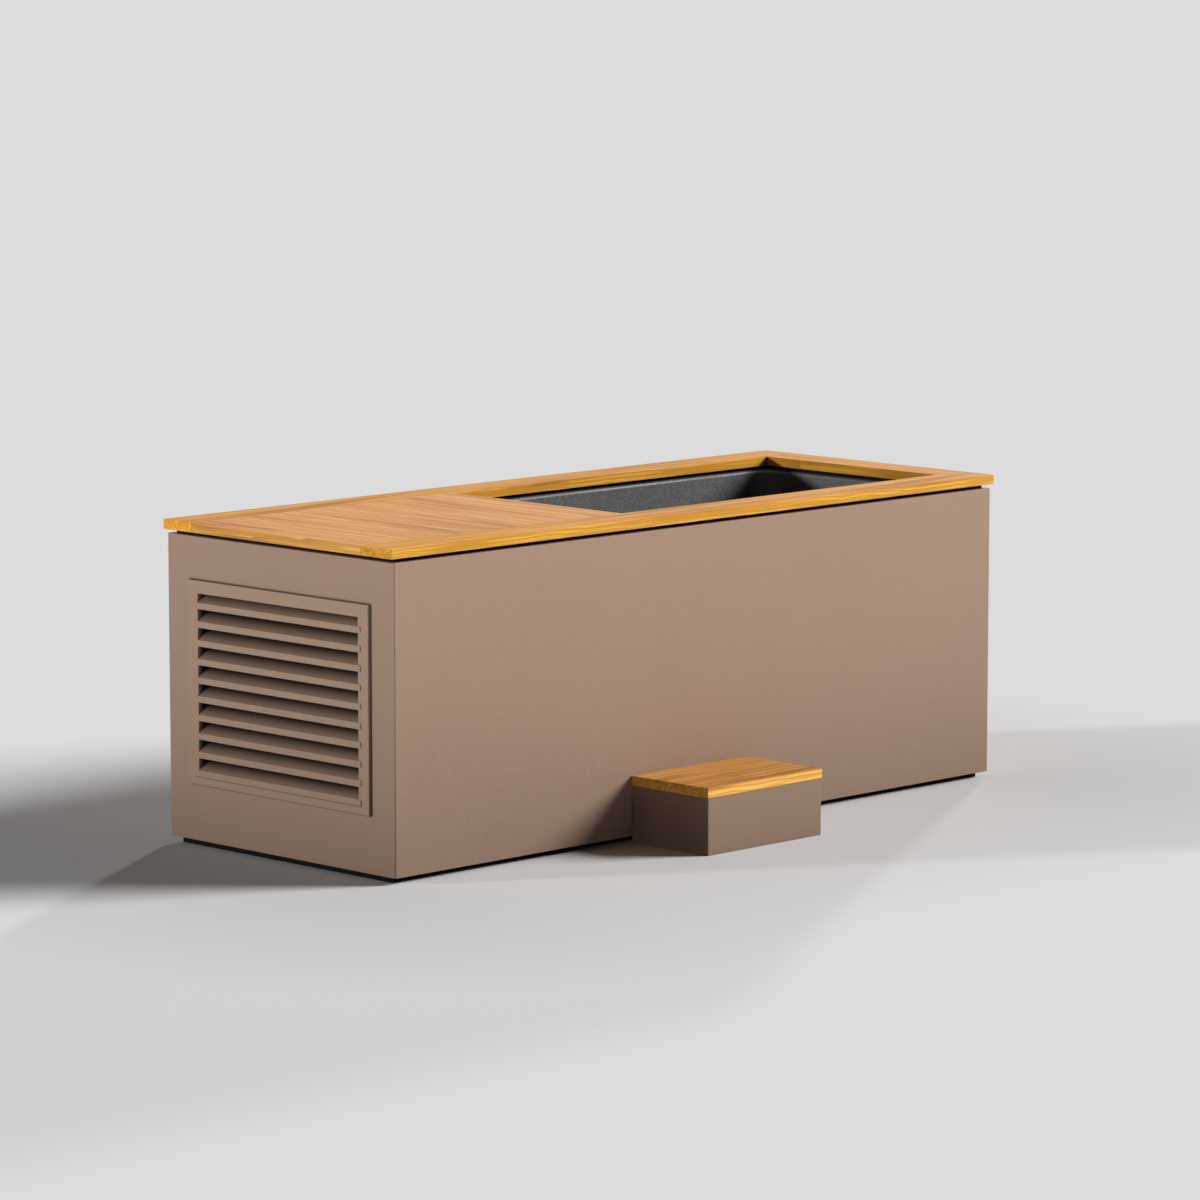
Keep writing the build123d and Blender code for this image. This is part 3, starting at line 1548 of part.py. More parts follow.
def button_places():
    """Middle lines of the three buttons along the control box."""
    return [button_first_x + i * button_spacing for i in range(3)]


def make_control_box():
    """Box fixed to the front upper tube, with a window recess and three button bores in its lid."""
    well = button_stem_length - button_stand + button_travel + button_well_gap
    with BuildPart() as box:
        add_box(control_x0, control_x1, control_y0, control_y1, control_bottom, control_top)
        fillet(box.edges().filter_by(Axis.Z), control_round)
        add_box(
            display_x0, display_x0 + display_length,
            button_y - display_width / 2, button_y + display_width / 2,
            control_top - display_depth, control_top + cut_over, Mode.SUBTRACT,
        )
        for x in button_places():
            add_rod(
                (x, button_y, control_top - well), (0, 0, 1), well + cut_over, button_radius + button_gap,
                Mode.SUBTRACT,
            )
    save(box, "control_box")


def make_control_display():
    """Window that lies flush in the control box's lid."""
    half = display_width / 2 - display_gap
    with BuildPart() as window:
        add_box(
            display_x0 + display_gap, display_x0 + display_length - display_gap,
            button_y - half, button_y + half,
            control_top - display_depth, control_top,
        )
    save(window, "control_display")


def make_buttons():
    """Three push buttons that stand proud of the lid."""
    for name, x in zip(("button_power", "button_down", "button_up"), button_places()):
        base = control_top + button_stand - button_stem_length
        with BuildPart() as button:
            add_rod((x, button_y, base), (0, 0, 1), button_stem_length, button_radius)
            fillet(button.faces().sort_by(Axis.Z)[-1].edges(), button_round)
        save(button, name)


# Step


def make_step_shell():
    """Folded four-sided box, open below, with an inward flange under the tread."""
    inner_length = step_length - 2 * step_sheet
    inner_depth = step_depth - 2 * step_sheet
    with BuildPart() as shell:
        with BuildSketch(Plane.XY.offset(step_foot_lift)):
            with Locations(step_middle):
                RectangleRounded(step_length, step_depth, step_corner)
                Rectangle(inner_length, inner_depth, mode=Mode.SUBTRACT)
        extrude(amount=step_shell_top - step_foot_lift)
        with BuildSketch(Plane.XY.offset(step_shell_top - step_sheet)):
            with Locations(step_middle):
                Rectangle(inner_length + 2 * step_flange_sink, inner_depth + 2 * step_flange_sink)
                Rectangle(inner_length - 2 * step_flange, inner_depth - 2 * step_flange, mode=Mode.SUBTRACT)
        extrude(amount=step_sheet)
        with Locations(Plane(origin=(*step_middle, step_shell_top - step_sheet - cut_over), z_dir=(0, 0, 1))):
            with GridLocations(step_screw_pitch_x, step_screw_pitch_y, 2, 2):
                Cylinder(
                    step_screw_radius + step_screw_gap, step_sheet + 2 * cut_over,
                    align=(Align.CENTER, Align.CENTER, Align.MIN), mode=Mode.SUBTRACT,
                )
    save(shell, "step_shell")


def make_step_tread():
    """Timber tread with eased edges and pilot holes for its screws."""
    with BuildPart() as tread:
        add_box(
            step_x0 - step_tread_overhang, step_x1 + step_tread_overhang,
            step_y0 - step_tread_overhang, step_y1, step_shell_top, step_height,
        )
        fillet(tread.edges(), timber_round)
        with Locations(Plane(origin=(*step_middle, step_shell_top - cut_over), z_dir=(0, 0, 1))):
            with GridLocations(step_screw_pitch_x, step_screw_pitch_y, 2, 2):
                Cylinder(
                    step_screw_radius + step_screw_fit, step_screw_pilot + cut_over,
                    align=(Align.CENTER, Align.CENTER, Align.MIN), mode=Mode.SUBTRACT,
                )
    save(tread, "step_tread")


def make_step_screws():
    """Four screws up through the flange into the tread."""
    low = step_shell_top - step_sheet - step_screw_head
    length = step_screw_head + step_sheet + step_screw_reach
    with BuildPart() as screws:
        with Locations(Plane(origin=(*step_middle, low), z_dir=(0, 0, 1))):
            with GridLocations(step_screw_pitch_x, step_screw_pitch_y, 2, 2):
                Cylinder(
                    step_screw_head_radius, step_screw_head, align=(Align.CENTER, Align.CENTER, Align.MIN)
                )
                Cylinder(step_screw_radius, length, align=(Align.CENTER, Align.CENTER, Align.MIN))
    save(screws, "step_screws")


def make_step_feet():
    """Four rubber feet inside the lower corners, a little lower than the shell."""
    inner_x = step_length / 2 - step_sheet - step_foot / 2
    inner_y = step_depth / 2 - step_sheet - step_foot / 2
    with BuildPart() as feet:
        with Locations(Plane(origin=(*step_middle, 0), z_dir=(0, 0, 1))):
            with GridLocations(2 * inner_x, 2 * inner_y, 2, 2):
                Box(step_foot, step_foot, step_foot_height, align=(Align.CENTER, Align.CENTER, Align.MIN))
    save(feet, "step_feet")


os.makedirs("parts", exist_ok=True)
make_plinth_board()
make_base_frame()
make_posts()
make_upper_frame()
make_front_panel()
make_rear_panel()
make_right_panel()
make_left_panel()
make_reveal_spacers()
make_basin()
make_basin_bearers()
make_insulation()
make_bulkhead()
make_timber_frame()
make_hatch_panel()
make_hatch_battens()
make_hinge()
make_louvre_frame()
make_louvre_blades()
make_filter_pad()
make_equipment_tray()
make_condenser_coil()
make_fan_shroud()
make_fan_motor()
make_fan()
make_compressor()
make_heat_exchanger()
make_refrigerant_lines()
make_pump_body()
make_pump_motor()
make_pump_rotor()
make_filter_canister()
make_filter_cartridge()
make_filter_lid()
make_lock_ring()
make_valve_bodies()
make_valve_lever("suction_valve_lever", suction_y, suction_z)
make_valve_lever("return_valve_lever", return_y, return_z)
make_suction_pipes()
make_delivery_pipes()
make_suction_grille()
make_jet_body()
make_jet_eye()
make_drain_grate()
make_drain_pipe()
make_drain_cap()
make_mains_gland()
make_control_box()
make_control_display()
make_buttons()
make_step_shell()
make_step_tread()
make_step_screws()
make_step_feet()
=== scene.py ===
import math

import bpy
import numpy as np
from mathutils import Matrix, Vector


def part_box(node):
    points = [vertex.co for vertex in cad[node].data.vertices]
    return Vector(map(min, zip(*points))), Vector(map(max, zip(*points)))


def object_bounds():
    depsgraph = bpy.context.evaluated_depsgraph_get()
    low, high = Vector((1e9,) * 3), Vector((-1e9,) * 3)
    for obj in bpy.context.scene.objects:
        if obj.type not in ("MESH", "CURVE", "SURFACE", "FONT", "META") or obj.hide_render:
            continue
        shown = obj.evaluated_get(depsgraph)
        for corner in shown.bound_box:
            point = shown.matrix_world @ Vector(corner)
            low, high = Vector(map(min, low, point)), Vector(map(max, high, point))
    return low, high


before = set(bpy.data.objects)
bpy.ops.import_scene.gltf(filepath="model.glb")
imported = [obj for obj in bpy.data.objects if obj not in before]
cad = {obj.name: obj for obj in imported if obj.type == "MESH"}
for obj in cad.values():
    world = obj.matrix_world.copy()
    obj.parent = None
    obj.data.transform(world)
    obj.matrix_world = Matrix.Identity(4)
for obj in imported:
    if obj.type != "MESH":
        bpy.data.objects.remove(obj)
cad_low, cad_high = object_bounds()

# Camera: a long lens that looks down a little on the louvred corner.
camera_place = Vector((-9.4335, -9.4554, 2.3927))
camera_turn = math.radians(-45.011)
camera_tilt = math.radians(7.941)
camera_data = bpy.data.cameras.new("camera")
camera_data.sensor_width = 36.0
camera_data.lens = 161.41
camera_data.clip_end = 200.0
camera = bpy.data.objects.new("camera", camera_data)
bpy.context.scene.collection.objects.link(camera)
looks_along = Vector(
    (
        -math.sin(camera_turn) * math.cos(camera_tilt),
        math.cos(camera_turn) * math.cos(camera_tilt),
        -math.sin(camera_tilt),
    )
)
camera.location = camera_place
camera.rotation_euler = looks_along.to_track_quat("-Z", "Y").to_euler()
bpy.context.scene.camera = camera
bpy.context.scene.view_settings.view_transform = "Standard"


# Plinth board and reveal spacers: solid black sheet, sawn and screwed under the frame and between the casing and the
# timber. It is matt, with a faint dusty mottle. Its near-black colour is partly the sheet's own and partly painted
# shade for the shadow gaps it sits in.


def new_material(name, colour, roughness, metallic=0.0):
    """A material with one Principled shader, and the tree, for what is added to it."""
    material = bpy.data.materials.new(name)
    material.use_nodes = True
    shader = material.node_tree.nodes["Principled BSDF"]
    shader.inputs["Base Color"].default_value = (*colour, 1.0)
    shader.inputs["Roughness"].default_value = roughness
    shader.inputs["Metallic"].default_value = metallic
    return material, material.node_tree, shader


def add_node(tree, kind, **settings):
    """A node of that kind with its properties set."""
    node = tree.nodes.new(kind)
    for key, value in settings.items():
        setattr(node, key, value)
    return node


def noise(tree, vector, scale, detail=3.0, roughness=0.55):
    """Fractal noise read at a vector socket."""
    node = add_node(tree, "ShaderNodeTexNoise")
    node.inputs["Scale"].default_value = scale
    node.inputs["Detail"].default_value = detail
    node.inputs["Roughness"].default_value = roughness
    tree.links.new(vector, node.inputs["Vector"])
    return node.outputs["Fac"]


def object_place(tree, scale=(1, 1, 1), turn=(0, 0, 0), shift=(0, 0, 0)):
    """The point in the tub's own frame, shifted, turned and scaled."""
    place = add_node(tree, "ShaderNodeTexCoord")
    mapping = add_node(tree, "ShaderNodeMapping")
    mapping.inputs["Location"].default_value = shift
    mapping.inputs["Rotation"].default_value = turn
    mapping.inputs["Scale"].default_value = scale
    tree.links.new(place.outputs["Object"], mapping.inputs["Vector"])
    return mapping.outputs["Vector"]


def spread(tree, value, low, high, from_low=0.3, from_high=0.7):
    """Maps a value from one range to another, held at both ends."""
    node = add_node(tree, "ShaderNodeMapRange")
    node.inputs["From Min"].default_value = from_low
    node.inputs["From Max"].default_value = from_high
    node.inputs["To Min"].default_value = low
    node.inputs["To Max"].default_value = high
    tree.links.new(value, node.inputs["Value"])
    return node.outputs["Result"]


def mix_colour(tree, factor, first, second, blend="MIX"):
    """Mixes two colours, each a socket or a plain colour, by a socket or a number."""
    node = add_node(tree, "ShaderNodeMix", data_type="RGBA", blend_type=blend)
    for socket, value in ((node.inputs[0], factor), (node.inputs[6], first), (node.inputs[7], second)):
        if isinstance(value, bpy.types.NodeSocket):
            tree.links.new(value, socket)
        elif isinstance(value, tuple):
            socket.default_value = (*value, 1.0)
        else:
            socket.default_value = value
    return node.outputs[2]


def add_bump(tree, shader, height, strength, distance):
    """Raises the surface by a height socket."""
    bump = add_node(tree, "ShaderNodeBump")
    bump.inputs["Strength"].default_value = strength
    bump.inputs["Distance"].default_value = distance
    tree.links.new(height, bump.inputs["Height"])
    tree.links.new(bump.outputs["Normal"], shader.inputs["Normal"])


def paint(material, *names):
    """Puts one material on these pieces."""
    for name in names:
        mesh = cad[name].data
        mesh.materials.clear()
        mesh.materials.append(material)


def mottled(name, colour, roughness, metallic=0.0, scale=180.0, depth=0.12, bump=0.15, distance=0.0003):
    """A plain finish with a fine mottle in its colour, its gloss and its surface."""
    material, tree, shader = new_material(name, colour, roughness, metallic)
    place = object_place(tree)
    fine = noise(tree, place, scale, 4.0)
    broad = noise(tree, place, 7.0, 2.0)
    shade = mix_colour(tree, spread(tree, fine, 0.0, depth), colour, (0.0, 0.0, 0.0))
    lighter = tuple(min(1.0, c * (1 + depth) + 0.002) for c in colour)
    shade = mix_colour(tree, spread(tree, broad, 0.0, 0.5), shade, lighter)
    tree.links.new(shade, shader.inputs["Base Color"])
    tree.links.new(spread(tree, broad, roughness - 0.05, min(1.0, roughness + 0.06)), shader.inputs["Roughness"])
    add_bump(tree, shader, fine, bump, distance)
    return material


# Near-black: partly the sheet's own colour, partly painted shade for the shadow gaps.
black_sheet_and_gap_shade = mottled("black_sheet_and_gap_shade", (0.003, 0.003, 0.003), 0.85, depth=0.3)
black_sheet_and_gap_shade.node_tree.nodes["Principled BSDF"].inputs["Specular IOR Level"].default_value = 0.1
paint(black_sheet_and_gap_shade, "plinth_board", "reveal_spacers")

# Welded frame: square steel tube, painted dark grey after welding.
paint(
    mottled("frame_paint", (0.045, 0.046, 0.05), 0.45, scale=260.0, bump=0.25),
    "base_frame", "frame_posts", "upper_frame",
)

# Casing: folded 3 mm sheet, powder coated in a warm taupe with a fine dry texture.
# The four panels meet in mitres at the corners.


def upright_outline_shade():
    """Painted contact shadow along an upright rectangle's outline: how far a point is past its sides, near zero."""
    group = bpy.data.node_groups.new("upright_outline_shade", "ShaderNodeTree")
    group.interface.new_socket("Vector", in_out="INPUT", socket_type="NodeSocketVector")
    for name in ("Half Across", "Middle Up", "Half Up", "Width"):
        group.interface.new_socket(name, in_out="INPUT", socket_type="NodeSocketFloat")
    group.interface.new_socket("Mask", in_out="OUTPUT", socket_type="NodeSocketFloat")
    into = add_node(group, "NodeGroupInput")
    out = add_node(group, "NodeGroupOutput")
    parts = add_node(group, "ShaderNodeSeparateXYZ")
    group.links.new(into.outputs["Vector"], parts.inputs["Vector"])
    past_side = arithmetic(group, "ABSOLUTE", parts.outputs["Y"])
    past_side = arithmetic(group, "SUBTRACT", past_side, into.outputs["Half Across"])
    past_end = arithmetic(group, "SUBTRACT", parts.outputs["Z"], into.outputs["Middle Up"])
    past_end = arithmetic(group, "SUBTRACT", arithmetic(group, "ABSOLUTE", past_end), into.outputs["Half Up"])
    off_line = arithmetic(group, "ABSOLUTE", arithmetic(group, "MAXIMUM", past_side, past_end))
    in_widths = arithmetic(group, "DIVIDE", off_line, into.outputs["Width"])
    group.links.new(spread(group, in_widths, 1.0, 0.0, 0.4, 1.0), out.inputs["Mask"])
    return group


def arithmetic(tree, operation, first, second=0.0):
    """One arithmetic step on sockets or numbers."""
    node = add_node(tree, "ShaderNodeMath", operation=operation)
    for socket, value in zip(node.inputs, (first, second)):
        if isinstance(value, bpy.types.NodeSocket):
            tree.links.new(value, socket)
        else:
            socket.default_value = value
    return node.outputs[0]


outline_shade_group = upright_outline_shade()


def powder_coat(name, colour, contact_shade=None, recess_shade=None):
    """Powder coat: a fine grain of lighter and darker specks over a soft orange-peel surface.

    A rectangle given for the outline is one that another piece is set against; along it a painted contact shadow is
    drawn as a dark line. A depth given along X is where the coat grows dark, as painted shade for the light that
    reaches in less.
    """
    material, tree, shader = new_material(name, colour, 0.55)
    shader.inputs["Specular IOR Level"].default_value = 0.2
    place = object_place(tree)
    speck = noise(tree, place, 1400.0, 2.0, 0.7)
    clump = noise(tree, place, 240.0, 2.0, 0.7)
    peel = noise(tree, place, 420.0, 2.0, 0.5)
    cloud = noise(tree, place, 2.2, 3.0)
    dark = tuple(c * 0.86 for c in colour)
    light = tuple(c * 1.12 for c in colour)
    shade = mix_colour(tree, spread(tree, speck, 0.0, 1.0), dark, light)
    shade = mix_colour(tree, spread(tree, clump, 0.0, 0.7), shade, tuple(c * 0.80 for c in colour))
    shade = mix_colour(tree, spread(tree, cloud, 0.0, 0.12), shade, light)
    # Near-black colour for the painted shade below.
    painted_shade = tuple(c * 0.06 for c in colour)
    if contact_shade:
        line = add_node(tree, "ShaderNodeGroup", node_tree=outline_shade_group)
        tree.links.new(place, line.inputs["Vector"])
        for socket, value in zip(("Half Across", "Middle Up", "Half Up", "Width"), contact_shade):
            line.inputs[socket].default_value = value
        # Painted contact shadow along the outline.
        shade = mix_colour(tree, arithmetic(tree, "MULTIPLY", line.outputs["Mask"], 0.7), shade, painted_shade)
    if recess_shade:
        parts = add_node(tree, "ShaderNodeSeparateXYZ")
        tree.links.new(place, parts.inputs["Vector"])
        # Painted shade, growing darker along X into the recess.
        shade = mix_colour(tree, spread(tree, parts.outputs["X"], 0.0, 1.0, *recess_shade), shade, painted_shade)
    tree.links.new(shade, shader.inputs["Base Color"])
    tree.links.new(spread(tree, cloud, 0.50, 0.60), shader.inputs["Roughness"])
    add_bump(tree, shader, peel, 0.35, 0.0004)
    return material


casing_taupe = (0.256, 0.166, 0.113)
paint(powder_coat("casing_coat", casing_taupe), "front_panel", "rear_panel", "right_panel")
flange_low, flange_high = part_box("louvre_frame")
flange_middle = (flange_low[2] + flange_high[2]) / 2
flange_half = (flange_high[2] - flange_low[2]) / 2
# The left panel gets a painted contact shadow round the louvre's flange.
paint(powder_coat("left_coat", casing_taupe, contact_shade=(flange_high[1], flange_middle, flange_half, 0.0045)), "left_panel")

# Louvre: a pressed steel frame with ten folded blades, coated to match the casing, and a black foam pad behind it.
# Painted shade darkens the coat into the throat and between the blades.
flange_taupe = tuple(c * 1.04 for c in casing_taupe)
blade_low, blade_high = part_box("louvre_blades")
# Painted contact shadow on the flange, under the lowest blade's lip.
under_last_lip = (blade_high[1], blade_low[2], 0.0002, 0.0030)
# Depths along X over which the louvre coat darkens as painted shade.
throat = (flange_low[0] + 0.0030, flange_low[0] + 0.014)
between_blades = (blade_low[0] + 0.0005, blade_low[0] + 0.0245)
paint(powder_coat("flange_coat", flange_taupe, contact_shade=under_last_lip, recess_shade=throat), "louvre_frame")
paint(powder_coat("blade_coat", flange_taupe, recess_shade=between_blades), "louvre_blades")


def open_foam(name, colour):
    """Open-cell foam: paler struts, with painted shade darkening the pits between them."""
    material, tree, shader = new_material(name, colour, 0.95)
    place = object_place(tree)
    cells = add_node(tree, "ShaderNodeTexVoronoi", feature="DISTANCE_TO_EDGE")
    cells.inputs["Scale"].default_value = 420.0
    tree.links.new(place, cells.inputs["Vector"])
    # Painted shade in the pits of the cells.
    shaded_pits = spread(tree, cells.outputs["Distance"], 1.0, 0.0, 0.0, 0.25)
    shade = mix_colour(tree, shaded_pits, tuple(c * 0.25 for c in colour), colour)
    tree.links.new(shade, shader.inputs["Base Color"])
    add_bump(tree, shader, shaded_pits, 0.5, 0.001)
    return material


# The pad's near-black is partly its own black and partly painted shade for the slits between the blades.
paint(open_foam("filter_foam", (0.008, 0.008, 0.009)), "louvre_filter_pad")
paint(open_foam("insulation_foam", (0.30, 0.29, 0.27)), "insulation_boards")

# Basin: a moulded dark grey shell with a fine pebbled surface and a rolled rim.


def basin_shell():
    """Moulded shell: fine pebble grain, a little lighter on its high points."""
    colour = (0.070, 0.070, 0.069)
    material, tree, shader = new_material("basin_shell", colour, 0.42)
    place = object_place(tree)
    shader.inputs["Specular IOR Level"].default_value = 0.3
    pebble = noise(tree, place, 205.0, 4.0, 0.75)
    cloud = noise(tree, place, 5.0, 3.0)
    dark = tuple(c * 0.52 for c in colour)
    light = tuple(c * 1.62 for c in colour)
    shade = mix_colour(tree, spread(tree, pebble, 0.0, 1.0, 0.35, 0.65), dark, light)
    tree.links.new(shade, shader.inputs["Base Color"])
    tree.links.new(spread(tree, cloud, 0.44, 0.54), shader.inputs["Roughness"])
    add_bump(tree, shader, pebble, 0.6, 0.0008)
    return material


paint(basin_shell(), "basin")
paint(
    mottled("fitting_plastic", (0.03, 0.03, 0.032), 0.4, scale=500.0),
    "suction_grille", "jet_body", "jet_eye", "drain_grate", "drain_cap", "mains_gland",
)
paint(mottled("bearer_board", (0.10, 0.10, 0.11), 0.7), "basin_bearers")

# Sheet metal of the bay: galvanised, with the large pale spangles of dipped zinc.


def zinc_sheet(name, colour):
    """Zinc: flat spangles that differ a little in tone and gloss."""
    material, tree, shader = new_material(name, colour, 0.45, 1.0)
    place = object_place(tree)
    spangle = add_node(tree, "ShaderNodeTexVoronoi")
    spangle.inputs["Scale"].default_value = 75.0
    tree.links.new(place, spangle.inputs["Vector"])
    tone = add_node(tree, "ShaderNodeSeparateColor")
    tree.links.new(spangle.outputs["Color"], tone.inputs["Color"])
    shade = mix_colour(tree, tone.outputs["Red"], tuple(c * 0.78 for c in colour), tuple(c * 1.1 for c in colour))
    tree.links.new(shade, shader.inputs["Base Color"])
    tree.links.new(spread(tree, tone.outputs["Green"], 0.36, 0.52, 0.0, 1.0), shader.inputs["Roughness"])
    add_bump(tree, shader, noise(tree, place, 60.0), 0.1, 0.0004)
    return material


paint(zinc_sheet("zinc_sheet", (0.55, 0.56, 0.57)), "bulkhead", "equipment_tray", "fan_shroud")

# Chiller: enamelled compressor and motor, finned coil, moulded fan, copper line.
paint(mottled("black_enamel", (0.012, 0.012, 0.013), 0.25, bump=0.08), "compressor", "fan_motor")
paint(mottled("fan_moulding", (0.03, 0.03, 0.034), 0.42), "fan")


def coil_fins():
    """Stacked aluminium fins: thin bright lines, with painted shade for the dark slots between them."""
    material, tree, shader = new_material("coil_fins", (0.62, 0.63, 0.64), 0.35, 1.0)
    place = object_place(tree)
    parts = add_node(tree, "ShaderNodeSeparateXYZ")
    tree.links.new(place, parts.inputs["Vector"])
    wave = add_node(tree, "ShaderNodeMath", operation="SINE")
    turns = add_node(tree, "ShaderNodeMath", operation="MULTIPLY")
    turns.inputs[1].default_value = 2 * math.pi / 0.003
    tree.links.new(parts.outputs["Y"], turns.inputs[0])
    tree.links.new(turns.outputs[0], wave.inputs[0])
    edge = spread(tree, wave.outputs[0], 0.0, 1.0, -0.2, 0.6)
    # The near-black colour is painted shade in the slots between the fins.
    shade = mix_colour(tree, edge, (0.05, 0.05, 0.055), (0.66, 0.67, 0.68))
    worn = mix_colour(tree, spread(tree, noise(tree, place, 14.0), 0.0, 0.3), shade, (0.32, 0.31, 0.28))
    tree.links.new(worn, shader.inputs["Base Color"])
    add_bump(tree, shader, edge, 0.6, 0.001)
    return material


paint(coil_fins(), "condenser_coil")
paint(mottled("copper_tube", (0.62, 0.28, 0.16), 0.32, 1.0, scale=90.0, depth=0.25), "refrigerant_line")
paint(mottled("exchanger_jacket", (0.055, 0.058, 0.062), 0.6, scale=320.0, bump=0.3), "heat_exchanger")

# Water circuit: glass-filled pump and canister, grey pipe, red levers, pleated paper.
paint(
    mottled("filled_nylon", (0.035, 0.036, 0.04), 0.5, scale=420.0, bump=0.25),
    "pump_body", "valve_bodies", "filter_canister", "filter_lid", "filter_lock_ring",
)
paint(mottled("motor_paint", (0.035, 0.075, 0.14), 0.38, scale=300.0), "pump_motor")
paint(mottled("turned_steel", (0.5, 0.5, 0.51), 0.3, 1.0, scale=240.0), "pump_rotor")
paint(mottled("pleated_paper", (0.74, 0.74, 0.70), 0.85, scale=600.0, depth=0.1), "filter_cartridge")
paint(
    mottled("grey_pipe", (0.48, 0.49, 0.50), 0.35, scale=120.0, depth=0.06),
    "suction_pipes", "delivery_pipes", "drain_pipe",
)
paint(mottled("red_lever", (0.45, 0.02, 0.015), 0.3, scale=300.0, depth=0.1), "suction_valve_lever", "return_valve_lever")

# Timber: oiled hardwood, planed flat with eased edges. Each board is cut beside the
# heart of its log, so the same rings show as long grain on its faces and as arcs on its ends.


def timber_group():
    """Growth rings round an axis along X, swayed by slow noise, with fibres, stripes and dark streaks."""
    group = bpy.data.node_groups.new("timber_grain", "ShaderNodeTree")
    face = group.interface
    face.new_socket("Vector", in_out="INPUT", socket_type="NodeSocketVector")
    for name, value in (("Ring Width", 0.010), ("Heart Across", 0.06), ("Heart Below", 0.09), ("Streaks", 0.6)):
        socket = face.new_socket(name, in_out="INPUT", socket_type="NodeSocketFloat")
        socket.default_value = value
    for name in ("Early", "Late", "Streak"):
        face.new_socket(name, in_out="INPUT", socket_type="NodeSocketColor")
    face.new_socket("Color", in_out="OUTPUT", socket_type="NodeSocketColor")
    face.new_socket("Height", in_out="OUTPUT", socket_type="NodeSocketFloat")
    into = add_node(group, "NodeGroupInput")
    out = add_node(group, "NodeGroupOutput")

    def along_grain(length, across):
        """The point, scaled to that many cells a metre along the grain and across it."""
        mapping = add_node(group, "ShaderNodeMapping")
        mapping.inputs["Scale"].default_value = (length, across, across)
        group.links.new(into.outputs["Vector"], mapping.inputs["Vector"])
        return mapping.outputs["Vector"]

    def step(operation, first, second=0.0):
        """One arithmetic step in this group."""
        return arithmetic(group, operation, first, second)

    parts = add_node(group, "ShaderNodeSeparateXYZ")
    group.links.new(into.outputs["Vector"], parts.inputs["Vector"])
    slow = spread(group, noise(group, along_grain(1.3, 5.0), 1.0, 2.0, 0.5), -0.020, 0.020, 0.2, 0.8)
    quick = spread(group, noise(group, along_grain(5.5, 14.0), 1.0, 2.0, 0.5), -0.007, 0.007, 0.2, 0.8)
    across = step("ADD", step("ADD", parts.outputs["Y"], into.outputs["Heart Across"]), slow)
    below = step("ADD", step("ADD", parts.outputs["Z"], into.outputs["Heart Below"]), quick)
    radius = step("SQRT", step("ADD", step("MULTIPLY", across, across), step("MULTIPLY", below, below)))
    turns = step("DIVIDE", radius, into.outputs["Ring Width"])
    late = step("POWER", step("FRACT", turns), 3.0)
    fine = step("POWER", step("FRACT", step("MULTIPLY", turns, 3.0)), 2.0)
    fibre = noise(group, along_grain(9.0, 420.0), 1.0, 3.0, 0.6)
    stripe = noise(group, along_grain(1.6, 75.0), 1.0, 3.0, 0.6)
    broad = noise(group, along_grain(1.4, 26.0), 1.0, 3.0, 0.6)
    pores = noise(group, along_grain(28.0, 1500.0), 1.0, 1.0, 0.5)
    ring_line = step("MULTIPLY", step("POWER", step("FRACT", turns), 5.0), 0.85)
    body = mix_colour(group, late, into.outputs["Early"], into.outputs["Late"])
    body = mix_colour(group, ring_line, body, into.outputs["Streak"])
    body = mix_colour(group, step("MULTIPLY", fine, 0.35), body, into.outputs["Late"])
    body = mix_colour(group, spread(group, stripe, 0.0, 0.9, 0.46, 0.57), body, into.outputs["Late"])
    thread = noise(group, along_grain(2.5, 170.0), 1.0, 2.0, 0.6)
    body = mix_colour(group, spread(group, thread, 0.0, 0.7, 0.48, 0.62), body, into.outputs["Late"])
    body = mix_colour(group, spread(group, fibre, 0.0, 0.4), body, into.outputs["Late"])
    dark = step("MULTIPLY", spread(group, broad, 0.0, 1.0, 0.57, 0.65), into.outputs["Streaks"])
    body = mix_colour(group, dark, body, into.outputs["Streak"])
    pit = spread(group, pores, 0.0, 0.30, 0.60, 0.75)
    body = mix_colour(group, pit, body, into.outputs["Streak"])
    group.links.new(body, out.inputs["Color"])
    group.links.new(step("SUBTRACT", step("MULTIPLY", fibre, 0.6), pit), out.inputs["Height"])
    return group


timber_grain = timber_group()


def timber(name, colour, top, edge, turn=(0, 0, 0), shift=(0, 0, 0), heart=(0.06, 0.09), ring=0.010, streaks=0.6):
    """Oiled timber whose grain runs along X after the turn. Its edges, below the planed top, are multiplied by a
    tint: partly the oil's, partly painted light and shade that set the sides apart from the top.
    """
    material, tree, shader = new_material(name, colour, 0.5)
    shader.inputs["Specular IOR Level"].default_value = 0.1
    grain = add_node(tree, "ShaderNodeGroup", node_tree=timber_grain)
    grain.inputs["Heart Across"].default_value = heart[0]
    grain.inputs["Heart Below"].default_value = heart[1]
    grain.inputs["Ring Width"].default_value = ring
    grain.inputs["Streaks"].default_value = streaks
    grain.inputs["Early"].default_value = (colour[0] * 1.26, colour[1] * 1.36, colour[2] * 1.50, 1.0)
    grain.inputs["Late"].default_value = (colour[0] * 0.80, colour[1] * 0.70, colour[2] * 0.55, 1.0)
    grain.inputs["Streak"].default_value = (colour[0] * 0.48, colour[1] * 0.34, colour[2] * 0.30, 1.0)
    tree.links.new(object_place(tree, turn=turn, shift=shift), grain.inputs["Vector"])
    parts = add_node(tree, "ShaderNodeSeparateXYZ")
    tree.links.new(object_place(tree), parts.inputs["Vector"])
    below_top = spread(tree, parts.outputs["Z"], 1.0, 0.0, top - 0.0022, top - 0.0006)
    shade = mix_colour(tree, below_top, grain.outputs["Color"], edge, "MULTIPLY")
    tree.links.new(shade, shader.inputs["Base Color"])
    tree.links.new(spread(tree, grain.outputs["Height"], 0.80, 0.66, -0.3, 0.6), shader.inputs["Roughness"])
    add_bump(tree, shader, grain.outputs["Height"], 0.25, 0.0002)
    return material


